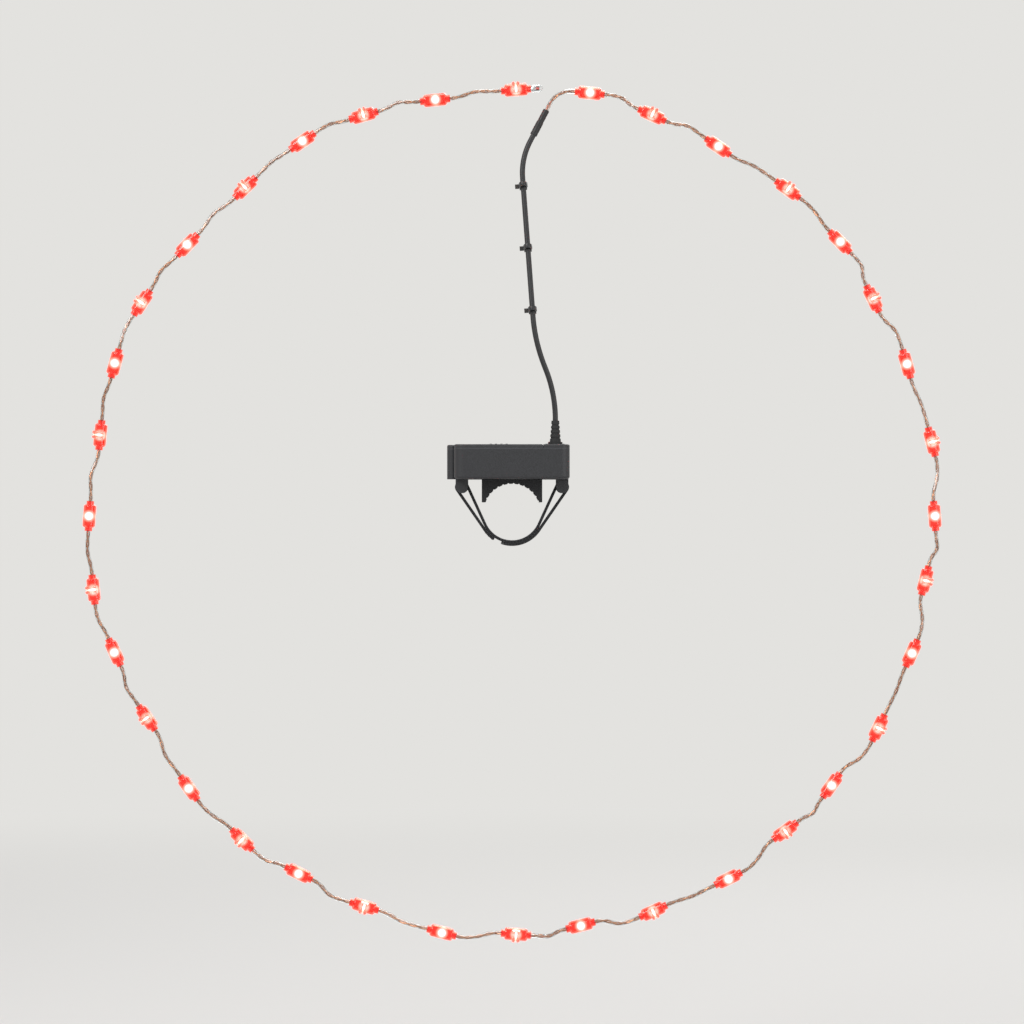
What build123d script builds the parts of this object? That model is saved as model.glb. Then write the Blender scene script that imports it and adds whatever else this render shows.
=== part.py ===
from build123d import *
import os
from math import acos, atan2, cos, degrees, hypot, pi, radians, sin, sqrt, tan

# A string of lights that is worn by 36 spokes. Thirty-six lamp capsules on a
# clear string snap on the spokes near their heads, one on every spoke. A black
# lead runs down one spoke to a battery case, which a strap holds on the hub.
#
# The origin is the middle of the ring of lamps. The ring lies in the XZ plane
# and +Z is up. Angles round the ring are counted clockwise from the top, as
# seen along +Y. Lengths are in millimetres.

# What the light is fitted to
spoke_count = 36
spoke_radius = 1.0
hub_radius = 16.0
flange_radius = 22.0
flange_offset = 36.0
nipple_radius = 270.0
spoke_lean = 60  # degrees round the hub from a spoke's head to its foot

# The string: two wires in a clear tube
ring_radius = 240.0
sway = 2.0  # how unevenly the lamps are set, in and out along their spokes
sway_turn = 100  # degrees of that wave from one spoke to the next
bow = 1.6  # how far the string bows out between two lamps
bow_sway = 0.9
straight_end = 4.5  # of the string at each side of a lamp
wire_radius = 0.4
wire_gap = 0.2
wire_ease = 0.1
tube_wall = 0.3
straight_share = 0.9  # of a straight end that a bend may use
bend_share = 0.45  # of a run between two bends that each may use

# The lamps
board_length = 9.0
board_width = 2.2
board_thick = 0.6
chip_length = 2.8
chip_width = 1.8
chip_height = 0.7
lens_ease = 1.1
lens_wall = 0.9
lens_neck_wall = 0.75
lens_neck_length = 2.0
lens_grip = 3.0
cavity_end_room = 1.0
tube_grip = 2.2
snug = 0.05  # clearance where one piece is pushed or shrunk on another

# The clip on each lamp's back, which snaps on a spoke
clip_web = 1.0
clip_wall = 1.0
clip_reach = 6.0  # along the spoke
clip_foot = 4.4  # along the string
clip_mouth = 1.5
clip_flare = 0.5

# The end of the string
tail_length = 7.0
end_cap_wall = 0.7
end_cap_length = 6.0
end_cap_depth = 4.0

# The lead, the sleeve that joins it to the string, and its ties
lead_radius = 1.5
lead_rise = 15.0
lead_landing = 30.0
leave_drop = 40.0  # how far under the ring the lead leaves its spoke
leave_radius = 40.0
first_run = 10.0
sleeve_wall = 0.5
sleeve_length = 16.0
splice_share = 0.52  # of the way from the spoke to the first lamp's bend
spoke_ease = 0.15  # between the lead and the spoke it runs beside
tie_clearance = 4.0  # along the lead, from a tie to a bend
lead_tie_count = 3

# Cable ties
tie_width = 2.5
tie_thick = 1.0
tie_head_length = 4.6
tie_head_depth = 3.0
tie_head_overhang = 0.8
tie_tail_length = 2.4

# The battery case, over three round cells that lie along Y
cell_count = 3
cell_radius = 7.15
cell_length = 50.5
cell_gap = 0.7
cell_nub_radius = 2.6
cell_nub_length = 1.0
cell_top_ease = 0.4
contact_thick = 0.4
contact_height = 11.0
spring_room = 3.7
wall = 2.0
divider_wall = 3.0
pod_width = 12.0
case_corner = 5.0
case_inner_corner = 3.0
case_bottom_round = 1.5
lid_thick = 2.4
lid_gap = 0.3
lid_round = 0.9
pad_crown = 2.5

# The door over the cells
door_overlap = 2.0  # of the door on the divider
seal_width = 1.0
seal_depth = 1.0
lip_thick = 1.2
lip_depth = 1.2
lip_length_share = 0.7
rib_count = 4
rib_width = 1.2
rib_height = 0.5
rib_pitch = 3.0
rib_length = 22.0
screw_radius = 1.1
screw_ease = 0.15
screw_reach = 7.0
screw_point = 1.0
screw_head_radius = 2.2
screw_head_height = 1.2
screw_head_sink = 0.15
screw_slot_length = 2.6
screw_slot_width = 0.6
screw_slot_depth = 0.6
boss_radius = 3.2
boss_place_share = 0.34  # of the case's width, from its middle

# The spring contacts
spring_wire_radius = 0.35
spring_turns = 3
spring_foot_radius = 4.6
spring_tip_radius = 2.4

# What stands in the pod beside the cells
pod_ease = 0.5
pcb_thick = 1.2
pcb_length = 41.0
pcb_seat_height = 5.6
pcb_rib_thick = 1.6
pcb_rib_inset = 6.0
chip_body_length = 5.0
chip_body_width = 4.0
chip_body_height = 1.5
chip_leg_count = 4
chip_leg_pitch = 1.27
chip_leg_width = 0.4
chip_leg_reach = 1.0
chip_leg_height = 0.5
switch_side = 6.0
switch_height = 3.5
switch_bore_ease = 0.25
button_radius = 4.0
button_proud = 1.2
button_round = 0.8
button_ease = 0.25
button_travel = 0.8
button_flange = 1.0
button_flange_thick = 1.0
button_stem_radius = 1.6
button_stem_grip = 1.2  # how deep the stem stands in the switch
guard_width = 1.2
guard_height = 0.7
button_place = 4.0
gland_inset = 9.5  # from the case's end
gland_neck_radius = 2.7
gland_rim = 1.3
gland_rim_thick = 1.3
gland_boot_length = 12.0
gland_boot_wall = 1.6
gland_tip_wall = 0.6
gland_groove_count = 4
gland_groove_depth = 0.35
gland_groove_width = 1.0

# The strap, its two bars under the case, and the rubber pad on the hub
strap_width = 25.0
strap_thick = 1.6
strap_ease = 0.3
strap_side_room = 0.6
flap_wrap = 75  # degrees of the hub that the strap's free end goes round
seam_wrap = 22  # degrees that its sewn end goes round
bar_radius = 2.0
bar_drop_gap = 0.5
bar_inset = 4.0
lug_thick = 3.0
lug_radius = 3.4
pad_angle = 70  # degrees from the top of the hub to the pad's edge
pad_lip = 2.0
pad_lip_round = 0.7

# Sizes that follow from those above
up = Vector(0, 0, 1)
axle = Vector(0, 1, 0)
wire_place = wire_radius + wire_gap / 2
tube_bore = wire_place + wire_radius + wire_ease
tube_radius = tube_bore + tube_wall
cavity_radius = hypot(board_width / 2, board_thick / 2 + chip_height) + lens_ease
lens_radius = cavity_radius + lens_wall
lens_bore = tube_radius + snug
lens_neck_radius = lens_bore + lens_neck_wall
cavity_length = board_length + 2 * cavity_end_room
lens_length = cavity_length + 2 * lens_grip
clip_place = lens_radius + clip_web + spoke_radius

contact_margin = case_inner_corner - cell_gap + snug  # from a contact's edge to its cell's side
cell_pitch = 2 * cell_radius + cell_gap
bay_length = cell_count * cell_pitch + cell_gap
bay_width = cell_length + spring_room + 2 * contact_thick
case_length = wall + bay_length + divider_wall + pod_width + wall
case_width = bay_width + 2 * wall
gland_place = case_width / 2 - gland_inset
case_left = -case_length / 2
case_right = case_length / 2
bay_left = case_left + wall
bay_right = bay_left + bay_length
bay_middle = (bay_left + bay_right) / 2
pod_left = bay_right + divider_wall
pod_right = case_right - wall
pod_middle = (pod_left + pod_right) / 2
case_bottom = hub_radius + pad_crown
floor_top = case_bottom + wall
cell_middle = floor_top + cell_top_ease + cell_radius
rim = cell_middle + cell_radius + cell_top_ease
case_top = rim + lid_thick
split_door = bay_right + door_overlap
split_deck = split_door + lid_gap
left_boss = (case_left - boss_radius + wall, 0)
right_boss = (bay_right + boss_radius, boss_place_share * case_width)
cell_places = [bay_left + cell_gap + cell_radius + i * cell_pitch for i in range(cell_count)]

bar_x = case_right - bar_inset
bar_wrap = bar_radius + strap_ease + strap_thick / 2
bar_z = case_bottom - bar_wrap - strap_thick / 2 - bar_drop_gap
lug_inner = strap_width / 2 + strap_side_room
lug_outer = lug_inner + lug_thick

pcb_bottom = floor_top + pcb_seat_height
pcb_top = pcb_bottom + pcb_thick
pcb_middle = -bay_width / 2 + pod_ease + pcb_length / 2
switch_top = pcb_top + switch_height
lead_start = Vector(pod_middle, -gland_place, pcb_top)
boot_top = case_top + gland_rim_thick + gland_boot_length


def spoke_line(number):
    """Foot and direction of a spoke. Even ones have it at -Y."""
    turn = radians(360 / spoke_count * number)
    foot_turn = turn + radians(spoke_lean if number % 4 < 2 else -spoke_lean)
    side = 1 if number % 2 else -1
    foot = Vector(flange_radius * sin(foot_turn), side * flange_offset, flange_radius * cos(foot_turn))
    head = Vector(nipple_radius * sin(turn), 0, nipple_radius * cos(turn))
    return foot, (head - foot).normalized()


def at_radius(foot, way, radius):
    """Point of a spoke at a distance from the Y axis."""
    a = way.X * way.X + way.Z * way.Z
    b = foot.X * way.X + foot.Z * way.Z
    c = foot.X * foot.X + foot.Z * foot.Z - radius * radius
    return foot + way * ((-b + sqrt(b * b - a * c)) / a)


def lamp_place(number):
    """Plane of the lamp on a spoke, with X along the string and Z to the spoke."""
    foot, way = spoke_line(number)
    side = 1 if number % 2 else -1
    held = at_radius(foot, way, ring_radius + sway * sin(radians(sway_turn * number)))
    out = (axle - way * way.Y).normalized() * side
    return Plane(held - out * clip_place, x_dir=out.cross(way) * side, z_dir=out)


def lamp_end(lamp, reach):
    """Point on a lamp's axis, ahead of its middle or behind it."""
    return lamp.origin + lamp.x_dir * reach


def bend_radius(corner, before, after, room):
    """Radius of the arc at a corner that takes the given room on both its runs."""
    turn = (corner - before).get_angle(after - corner)
    return room / tan(radians(turn) / 2)


def string_run(number, reach):
    """Route from one lamp to the next, which bows outwards, and its bend radii."""
    before, after = lamps[number], lamps[number + 1]
    leave = lamp_end(before, lens_length / 2 + straight_end)
    enter = lamp_end(after, -lens_length / 2 - straight_end)
    middle = (leave + enter) / 2
    outward = Vector(middle.X, 0, middle.Z).normalized()
    crest = middle + outward * (bow + bow_sway * sin(radians(sway_turn * number)))
    route = [lamp_end(before, reach), leave, crest, enter, lamp_end(after, -reach)]
    room = min(straight_share * straight_end, bend_share * (crest - leave).length)
    corners = zip(route[1:], route, route[2:])
    return route, [bend_radius(corner, start, end, room) for corner, start, end in corners]


lamps = [lamp_place(number) for number in range(1, spoke_count + 1)]

# The lead lies on the inner side of the topmost left spoke, then crosses to the
# first lamp, and the splice is on the way
spoke_foot, spoke_way = spoke_line(0)
inward = (axle - spoke_way * spoke_way.Y).normalized()
sleeve_radius = lead_radius + snug + sleeve_wall
lead_offset = spoke_radius + spoke_ease + lead_radius


def on_spoke(height):
    """Point at a height on the spoke that carries the lead."""
    return spoke_foot + spoke_way * ((height - spoke_foot.Z) / spoke_way.Z)


def on_lead(height):
    """Point on the lead's line, which runs beside that spoke."""
    return on_spoke(height) + inward * lead_offset


leave_height = ring_radius - leave_drop
lead_leave = on_lead(leave_height)
first_corner = lamp_end(lamps[0], -lens_length / 2 - first_run)
splice = lead_leave + (first_corner - lead_leave) * splice_share
splice_way = (first_corner - lead_leave).normalized()


def string_routes(reach):
    """Every length of the string: from the splice, and then from lamp to lamp."""
    entry = lamp_end(lamps[0], -reach)
    radius = bend_radius(first_corner, splice, entry, straight_share * first_run)
    return [([splice, first_corner, entry], radius)] + [
        string_run(number, reach) for number in range(spoke_count - 1)
    ]


tube_routes = string_routes(lens_length / 2 - tube_grip)
wire_routes = string_routes(board_length / 2)
bends = [tube_routes[0][1]] + [radius for route, radii in tube_routes[1:] for radius in radii]
print("string bend radii from", round(min(bends), 1), "to", round(max(bends), 1))
print("lead spoke direction", spoke_way)

# The lamps: a clear capsule, made once and set in every run of the string
with BuildPart() as lens_blank:
    with BuildSketch(Plane.XY):
        with BuildLine():
            half = lens_length / 2
            shoulder = lens_radius - lens_neck_radius
            neck_end = half - lens_neck_length
            Polyline(
                (-cavity_length / 2, cavity_radius),
                (-cavity_length / 2, lens_bore),
                (-half, lens_bore),
                (-half, lens_neck_radius),
                (-neck_end, lens_neck_radius),
            )
            CenterArc((-neck_end + shoulder, lens_neck_radius), shoulder, 180, -90)
            Line((-neck_end + shoulder, lens_radius), (neck_end - shoulder, lens_radius))
            CenterArc((neck_end - shoulder, lens_neck_radius), shoulder, 90, -90)
            Polyline(
                (neck_end, lens_neck_radius),
                (half, lens_neck_radius),
                (half, lens_bore),
                (cavity_length / 2, lens_bore),
                (cavity_length / 2, cavity_radius),
                (-cavity_length / 2, cavity_radius),
            )
        make_face()
    revolve(axis=Axis.X)
    grip = Plane(origin=(0, 0, clip_place), x_dir=(1, 0, 0), z_dir=(0, 1, 0))
    mouth_top = spoke_radius + clip_wall
    with BuildSketch(grip):
        Circle(mouth_top)
        with Locations((0, clip_place / 2)):
            Rectangle(clip_foot, clip_place - spoke_radius)
    extrude(amount=clip_reach / 2, both=True)
    with BuildSketch(grip):
        Circle(spoke_radius)
        with BuildLine():
            Polyline(
                (0, 0),
                (clip_mouth / 2, 0),
                (clip_mouth / 2, -mouth_top + clip_flare),
                (clip_mouth / 2 + clip_flare, -mouth_top),
                (-clip_mouth / 2 - clip_flare, -mouth_top),
                (-clip_mouth / 2, -mouth_top + clip_flare),
                (-clip_mouth / 2, 0),
                (0, 0),
            )
        make_face()
    extrude(amount=clip_reach, both=True, mode=Mode.SUBTRACT)
    with BuildSketch(Plane.YZ):
        Circle(cavity_radius)
    extrude(amount=cavity_length / 2, both=True, mode=Mode.SUBTRACT)

led_lenses = []
for number, place in enumerate(lamps, start=1):
    with BuildPart() as led_lens:
        with Locations(place):
            add(lens_blank.part)
    led_lens.part.label = f"led_lens_{number:02d}"
    led_lenses.append(led_lens)

with BuildPart() as led_boards:
    with Locations(*lamps):
        Box(board_length, board_width, board_thick)

chip_lift = board_thick / 2 + chip_height / 2
chip_places = [place.offset(lift) for place in lamps for lift in (chip_lift, -chip_lift)]
with BuildPart() as led_chips:
    with Locations(*chip_places):
        Box(chip_length, chip_width, chip_height)

# The string itself, a short length of tube and two wires from lamp to lamp
tube_lengths = []
for route, radius in tube_routes:
    with BuildPart() as length:
        with BuildLine() as path:
            FilletPolyline(*route, radius=radius)
        with BuildSketch(Plane(route[0], x_dir=axle, z_dir=route[1] - route[0])):
            Circle(tube_radius)
            Circle(tube_bore, mode=Mode.SUBTRACT)
        sweep(path=path.line)
    tube_lengths.append(length.part)

tail_way = lamps[-1].x_dir
tail_start = lamps[-1].origin + tail_way * (lens_length / 2 - tube_grip)
with BuildPart() as string_tube:
    with BuildSketch(Plane(tail_start, x_dir=lamps[-1].z_dir, z_dir=tail_way)):
        Circle(tube_radius)
        Circle(tube_bore, mode=Mode.SUBTRACT)
    extrude(amount=tail_length)
    add(tube_lengths)

wire_lengths = []
for route, radius in wire_routes:
    way = (route[1] - route[0]).normalized()
    bend_normal = way.cross(axle).normalized()
    with BuildPart() as length:
        with BuildLine() as path:
            FilletPolyline(*route, radius=radius)
        with BuildSketch(Plane(route[0], x_dir=bend_normal, z_dir=way)):
            with Locations((wire_place, 0), (-wire_place, 0)):
                Circle(wire_radius)
        sweep(path=path.line)
    wire_lengths.append(length.part)

with BuildPart() as string_wires:
    add(wire_lengths)

# A moulded cap that closes the string's far end
cap_bore = tube_radius + snug
cap_radius = cap_bore + end_cap_wall
cap_mouth = tail_start + tail_way * (tail_length - end_cap_depth)
cap_plane = Plane(cap_mouth, x_dir=tail_way, z_dir=lamps[-1].z_dir)
with BuildPart() as string_end_cap:
    with BuildSketch(cap_plane):
        with BuildLine():
            Polyline(
                (end_cap_length - cap_radius, cap_radius),
                (0, cap_radius),
                (0, cap_bore),
                (end_cap_depth, cap_bore),
                (end_cap_depth, 0),
                (end_cap_length, 0),
            )
            CenterArc((end_cap_length - cap_radius, 0), cap_radius, 0, 90)
        make_face()
    revolve(axis=Axis(cap_mouth, tail_way))

# The lead: out of the pod's board, up through the gland and along its spoke
lead_turn = Vector(lead_start.X, lead_start.Y, boot_top + lead_rise)
lead_join = on_lead(lead_turn.Z + lead_landing)
lead_bend = bend_share * (lead_join - lead_turn).length
leave_bend = leave_radius * tan(radians(spoke_way.get_angle(splice_way)) / 2)
lead_radii = [
    bend_radius(lead_turn, lead_start, lead_join, lead_bend),
    bend_radius(lead_join, lead_turn, lead_leave, lead_bend),
    leave_radius,
]
with BuildPart() as lead_cable:
    with BuildLine() as path:
        FilletPolyline(lead_start, lead_turn, lead_join, lead_leave, splice, radius=lead_radii)
    with BuildSketch(Plane(lead_start, x_dir=(1, 0, 0), z_dir=up)):
        Circle(lead_radius)
    sweep(path=path.line)
print("lead bend radii", [round(radius, 1) for radius in lead_radii])

# A shrunk sleeve over the splice, wide below for the lead and narrow above
sleeve_foot = splice - splice_way * (sleeve_length / 2)
with BuildPart() as splice_sleeve:
    with BuildSketch(Plane(sleeve_foot, x_dir=inward, z_dir=splice_way)):
        Circle(sleeve_radius)
        Circle(lead_radius + snug, mode=Mode.SUBTRACT)
    extrude(amount=sleeve_length / 2)
    with BuildSketch(Plane(splice, x_dir=inward, z_dir=splice_way)):
        Circle(sleeve_radius)
        Circle(tube_radius + snug, mode=Mode.SUBTRACT)
    extrude(amount=sleeve_length / 2)
    chamfer(splice_sleeve.edges().filter_by(GeomType.CIRCLE).sort_by(Axis.Z)[-2:], sleeve_wall / 2)

# Cable ties that go square round the lead and its spoke
first_tie = lead_join.Z + lead_bend + tie_clearance
last_tie = leave_height - leave_bend - tie_clearance
tie_spacing = (last_tie - first_tie) / (lead_tie_count - 1)
tie_heights = [first_tie + i * tie_spacing for i in range(lead_tie_count)]
print("lead ties at", [on_spoke(height) for height in tie_heights])
head_width = tie_width + 2 * tie_head_overhang
with BuildPart() as lead_ties:
    for height in tie_heights:
        belt = Plane(on_spoke(height), x_dir=inward, z_dir=spoke_way)
        with BuildSketch(belt):
            Circle(spoke_radius + tie_thick)
            with Locations((lead_offset, 0)):
                Circle(lead_radius + tie_thick)
            make_hull()
        extrude(amount=tie_width / 2, both=True)
        head_middle = lead_offset + lead_radius + tie_head_depth / 2
        with BuildSketch(belt):
            with Locations((head_middle, 0)):
                RectangleRounded(tie_head_depth, tie_head_length, tie_head_overhang / 2)
            with Locations((head_middle, tie_head_length / 2 + tie_tail_length / 2)):
                Rectangle(tie_thick, tie_tail_length)
        extrude(amount=head_width / 2, both=True)
        with BuildSketch(belt):
            Circle(spoke_radius)
            with Locations((lead_offset, 0)):
                Circle(lead_radius)
            make_hull()
        extrude(amount=head_width, both=True, mode=Mode.SUBTRACT)

# The case's tray: a battery bay, a pod for the board, screw bosses, and lugs
# with bars below for the strap
tray_height = rim - case_bottom
bay_depth = rim - floor_top
with BuildPart() as case_tray:
    with BuildSketch(Plane.XY.offset(case_bottom)):
        RectangleRounded(case_length, case_width, case_corner)
    extrude(amount=tray_height)
    fillet(case_tray.faces().sort_by(Axis.Z)[0].edges(), case_bottom_round)
    with BuildSketch(Plane.XY.offset(case_bottom)):
        with Locations(left_boss):
            Circle(boss_radius)
    extrude(amount=tray_height)
    with BuildSketch(Plane.XY.offset(floor_top)):
        with Locations((bay_middle, 0)):
            RectangleRounded(bay_length, bay_width, case_inner_corner)
        with Locations((pod_middle, 0)):
            RectangleRounded(pod_width, bay_width, case_inner_corner)
    extrude(amount=bay_depth, mode=Mode.SUBTRACT)
    with BuildSketch(Plane.XY.offset(case_bottom + wall / 2)):
        with Locations(right_boss):
            Circle(boss_radius)
    extrude(amount=rim - case_bottom - wall / 2)
    with BuildSketch(Plane.XY.offset(floor_top)):
        with Locations(
            (pod_middle, pcb_middle - pcb_length / 2 + pcb_rib_inset),
            (pod_middle, pcb_middle + pcb_length / 2 - pcb_rib_inset),
        ):
            Rectangle(pod_width, pcb_rib_thick)
    extrude(amount=pcb_seat_height)
    with BuildSketch(Plane.XY.offset(rim)):
        with Locations(left_boss, right_boss):
            Circle(screw_radius + screw_ease)
    extrude(amount=-screw_reach - wall / 2, mode=Mode.SUBTRACT)
    lug_rise = case_bottom + wall / 2 - bar_z
    for side in (lug_outer, -lug_inner):
        with BuildSketch(Plane.XZ.offset(side)):
            with Locations((bar_x, bar_z), (-bar_x, bar_z)):
                Circle(lug_radius)
            with Locations((bar_x, bar_z + lug_rise / 2), (-bar_x, bar_z + lug_rise / 2)):
                Rectangle(2 * lug_radius, lug_rise)
        extrude(amount=-lug_thick)
    with BuildSketch(Plane.XZ):
        with Locations((bar_x, bar_z), (-bar_x, bar_z)):
            Circle(bar_radius)
    extrude(amount=lug_outer, both=True)

# The fixed deck over the pod, with holes for the button and the lead's gland
button_at = (pod_middle, button_place)
gland_at = (pod_middle, -gland_place)
cut_reach = case_length
with BuildPart() as case_deck:
    with BuildSketch(Plane.XY.offset(rim)):
        RectangleRounded(case_length, case_width, case_corner)
        with Locations((split_deck - cut_reach / 2, 0)):
            Rectangle(cut_reach, case_width, mode=Mode.SUBTRACT)
        with Locations(right_boss):
            Circle(boss_radius + lid_gap, mode=Mode.SUBTRACT)
    extrude(amount=lid_thick)
    outer = case_deck.faces().sort_by(Axis.Z)[-1].edges().filter_by(
        lambda edge: edge.center().X > split_deck + boss_radius
    )
    fillet(outer, lid_round)
    with BuildSketch(Plane.XY.offset(case_top)):
        with Locations(button_at):
            Circle(button_radius + button_ease + guard_width)
    extrude(amount=guard_height)
    with BuildSketch(Plane.XY.offset(rim)):
        with Locations(button_at):
            Circle(button_radius + button_ease)
        with Locations(gland_at):
            Circle(gland_neck_radius)
    extrude(amount=lid_thick + guard_height, mode=Mode.SUBTRACT)

# The door over the cells, which lifts straight off when its screws are out
lip_length = lip_length_share * bay_width
seal_left = case_left + (wall - seal_width) / 2
seal_right = bay_right + (door_overlap - seal_width) / 2 + seal_width
seal_middle = (seal_left + seal_right) / 2
seal_length = seal_right - seal_left
seal_breadth = case_width - wall + seal_width
seal_corner = case_corner - (wall - seal_width) / 2
with BuildPart() as battery_door:
    with BuildSketch(Plane.XY.offset(rim)):
        RectangleRounded(case_length, case_width, case_corner)
        with Locations((split_door + cut_reach / 2, 0)):
            Rectangle(cut_reach, case_width, mode=Mode.SUBTRACT)
        with Locations(left_boss, right_boss):
            Circle(boss_radius)
    extrude(amount=lid_thick)
    fillet(battery_door.faces().sort_by(Axis.Z)[-1].edges(), lid_round)
    with BuildSketch(Plane.XY.offset(case_top)):
        with GridLocations(rib_pitch, 0, rib_count, 1):
            with Locations((bay_middle, 0)):
                SlotCenterToCenter(rib_length, rib_width, rotation=90)
    extrude(amount=rib_height)
    with BuildSketch(Plane.XY.offset(rim)):
        with Locations(
            (bay_left + lid_gap + lip_thick / 2, 0),
            (bay_right - lid_gap - lip_thick / 2, 0),
        ):
            Rectangle(lip_thick, lip_length)
    extrude(amount=-lip_depth)
    with BuildSketch(Plane.XY.offset(rim)):
        with Locations((seal_middle, 0)):
            RectangleRounded(seal_length, seal_breadth, seal_corner)
            RectangleRounded(
                seal_length - 2 * seal_width,
                seal_breadth - 2 * seal_width,
                seal_corner - seal_width,
                mode=Mode.SUBTRACT,
            )
    extrude(amount=seal_depth, mode=Mode.SUBTRACT)
    with Locations(*[(x, y, case_top) for x, y in (left_boss, right_boss)]):
        CounterBoreHole(
            radius=screw_radius + screw_ease,
            counter_bore_radius=screw_head_radius + screw_ease,
            counter_bore_depth=screw_head_height + screw_head_sink,
            depth=lid_thick,
        )

with BuildPart() as door_seal:
    with BuildSketch(Plane.XY.offset(rim)):
        with Locations((seal_middle, 0)):
            RectangleRounded(seal_length, seal_breadth, seal_corner)
            RectangleRounded(
                seal_length - 2 * seal_width,
                seal_breadth - 2 * seal_width,
                seal_corner - seal_width,
                mode=Mode.SUBTRACT,
            )
    extrude(amount=seal_depth)


def door_screw(place):
    """A pan-head screw that stands in the door's counterbore, point down."""
    head_top = case_top - screw_head_sink
    with BuildPart() as screw:
        with BuildSketch(Plane(origin=(*place, head_top), x_dir=(1, 0, 0), z_dir=(0, -1, 0))):
            with BuildLine():
                Polyline(
                    (0, 0),
                    (screw_head_radius, 0),
                    (screw_head_radius, -screw_head_height),
                    (screw_radius, -screw_head_height),
                    (screw_radius, -screw_head_height - screw_reach + screw_point),
                    (screw_radius / 2, -screw_head_height - screw_reach),
                    (0, -screw_head_height - screw_reach),
                    (0, 0),
                )
            make_face()
        revolve(axis=Axis((*place, 0), (0, 0, 1)))
        with BuildSketch(Plane.XY.offset(head_top)):
            with Locations(place):
                Rectangle(screw_slot_length, screw_slot_width)
                Rectangle(screw_slot_width, screw_slot_length)
        extrude(amount=-screw_slot_depth, mode=Mode.SUBTRACT)
    return screw


door_screw_left = door_screw(left_boss)
door_screw_right = door_screw(right_boss)

# Three cells, laid head to tail
cell_ways = [-1 if i % 2 == 0 else 1 for i in range(cell_count)]
contact_face = bay_width / 2 - contact_thick
with BuildPart() as cells:
    for x, way in zip(cell_places, cell_ways):
        flat_end = way * (contact_face - cell_length)
        base = Plane((x, flat_end, cell_middle), x_dir=(1, 0, 0), z_dir=(0, way, 0))
        with BuildSketch(base):
            Circle(cell_radius)
        extrude(amount=cell_length - cell_nub_length)
        with BuildSketch(base):
            Circle(cell_nub_radius)
        extrude(amount=cell_length)


def arc_chain(points, ways):
    """Two arcs between each point and the next, smooth all along."""
    for p, q, a, b in zip(points, points[1:], ways, ways[1:]):
        gap = q - p
        blend = a + b
        lean = gap.dot(blend)
        parting = 2 * (1 - a.dot(b))
        reach = (-lean + sqrt(lean * lean + parting * gap.dot(gap))) / parting
        middle = (p + a * reach + q - b * reach) / 2
        TangentArc(p, middle, tangent=a)
        TangentArc(middle, q, tangent=q - b * reach - middle)


# The contacts: a plate at every cell's end, some joined in pairs, and a coned
# spring on the plate at each flat end
spring_rise = spring_room - 2 * spring_wire_radius
quarter_steps = 4 * spring_turns


def spring_point(step):
    """Point on a coned spring's wire, in the frame of its plate."""
    share = step / quarter_steps
    radius = spring_foot_radius + (spring_tip_radius - spring_foot_radius) * share
    turn = pi / 2 * step
    height = spring_wire_radius + spring_rise * share
    return Vector(radius * cos(turn), radius * sin(turn), height)


def spring_way(step):
    """Direction of that wire at the same point."""
    ahead = spring_point(step + 1 / quarter_steps)
    behind = spring_point(step - 1 / quarter_steps)
    return (ahead - behind).normalized()


with BuildPart() as contact_plates:
    for end in (-1, 1):
        pairs = [[0], [1, 2]] if end < 0 else [[0, 1], [2]]
        for pair in pairs:
            left = cell_places[pair[0]] - cell_radius + contact_margin
            right = cell_places[pair[-1]] + cell_radius - contact_margin
            place = ((left + right) / 2, end * (bay_width / 2 - contact_thick / 2), cell_middle)
            with Locations(place):
                Box(right - left, contact_thick, contact_height)

with BuildPart() as contact_springs:
    for x, way in zip(cell_places, cell_ways):
        plate = Plane((x, -way * contact_face, cell_middle), x_dir=(1, 0, 0), z_dir=(0, way, 0))
        steps = range(quarter_steps + 1)
        points = [plate.from_local_coords(spring_point(i)) for i in steps]
        ways = [plate.from_local_coords(spring_way(i)) - plate.origin for i in steps]
        with BuildLine() as coil:
            arc_chain(points, ways)
        with BuildSketch(Plane(points[0], x_dir=plate.z_dir, z_dir=ways[0])):
            Circle(spring_wire_radius)
        sweep(path=coil.line)

turn_gap = hypot(spring_rise, spring_foot_radius - spring_tip_radius) / spring_turns
print("least gap between the spring's turns", round(turn_gap - 2 * spring_wire_radius, 2))

# The board, its chip and the push switch
with BuildPart() as circuit_board:
    with BuildSketch(Plane.XY.offset(pcb_bottom)):
        with Locations((pod_middle, pcb_middle)):
            RectangleRounded(pod_width - 2 * pod_ease, pcb_length, case_inner_corner)
    extrude(amount=pcb_thick)

chip_place = (pod_middle, (button_place - gland_place) / 2)
with BuildPart() as controller_chip:
    with BuildSketch(Plane.XY.offset(pcb_top)):
        with Locations(chip_place):
            Rectangle(chip_body_width, chip_body_length)
    extrude(amount=chip_body_height)
    chamfer(controller_chip.faces().sort_by(Axis.Z)[-1].edges(), chip_leg_width / 2)
    with BuildSketch(Plane.XY.offset(pcb_top)):
        with Locations(chip_place):
            with GridLocations(0, chip_leg_pitch, 1, chip_leg_count):
                Rectangle(chip_body_width + 2 * chip_leg_reach, chip_leg_width)
    extrude(amount=chip_leg_height)

with BuildPart() as switch_body:
    with BuildSketch(Plane.XY.offset(pcb_top)):
        with Locations(button_at):
            Rectangle(switch_side, switch_side)
    extrude(amount=switch_height)
    with BuildSketch(Plane.XY.offset(switch_top)):
        with Locations(button_at):
            Circle(button_stem_radius + switch_bore_ease)
    extrude(amount=-button_stem_grip - button_travel - switch_bore_ease, mode=Mode.SUBTRACT)

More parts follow.
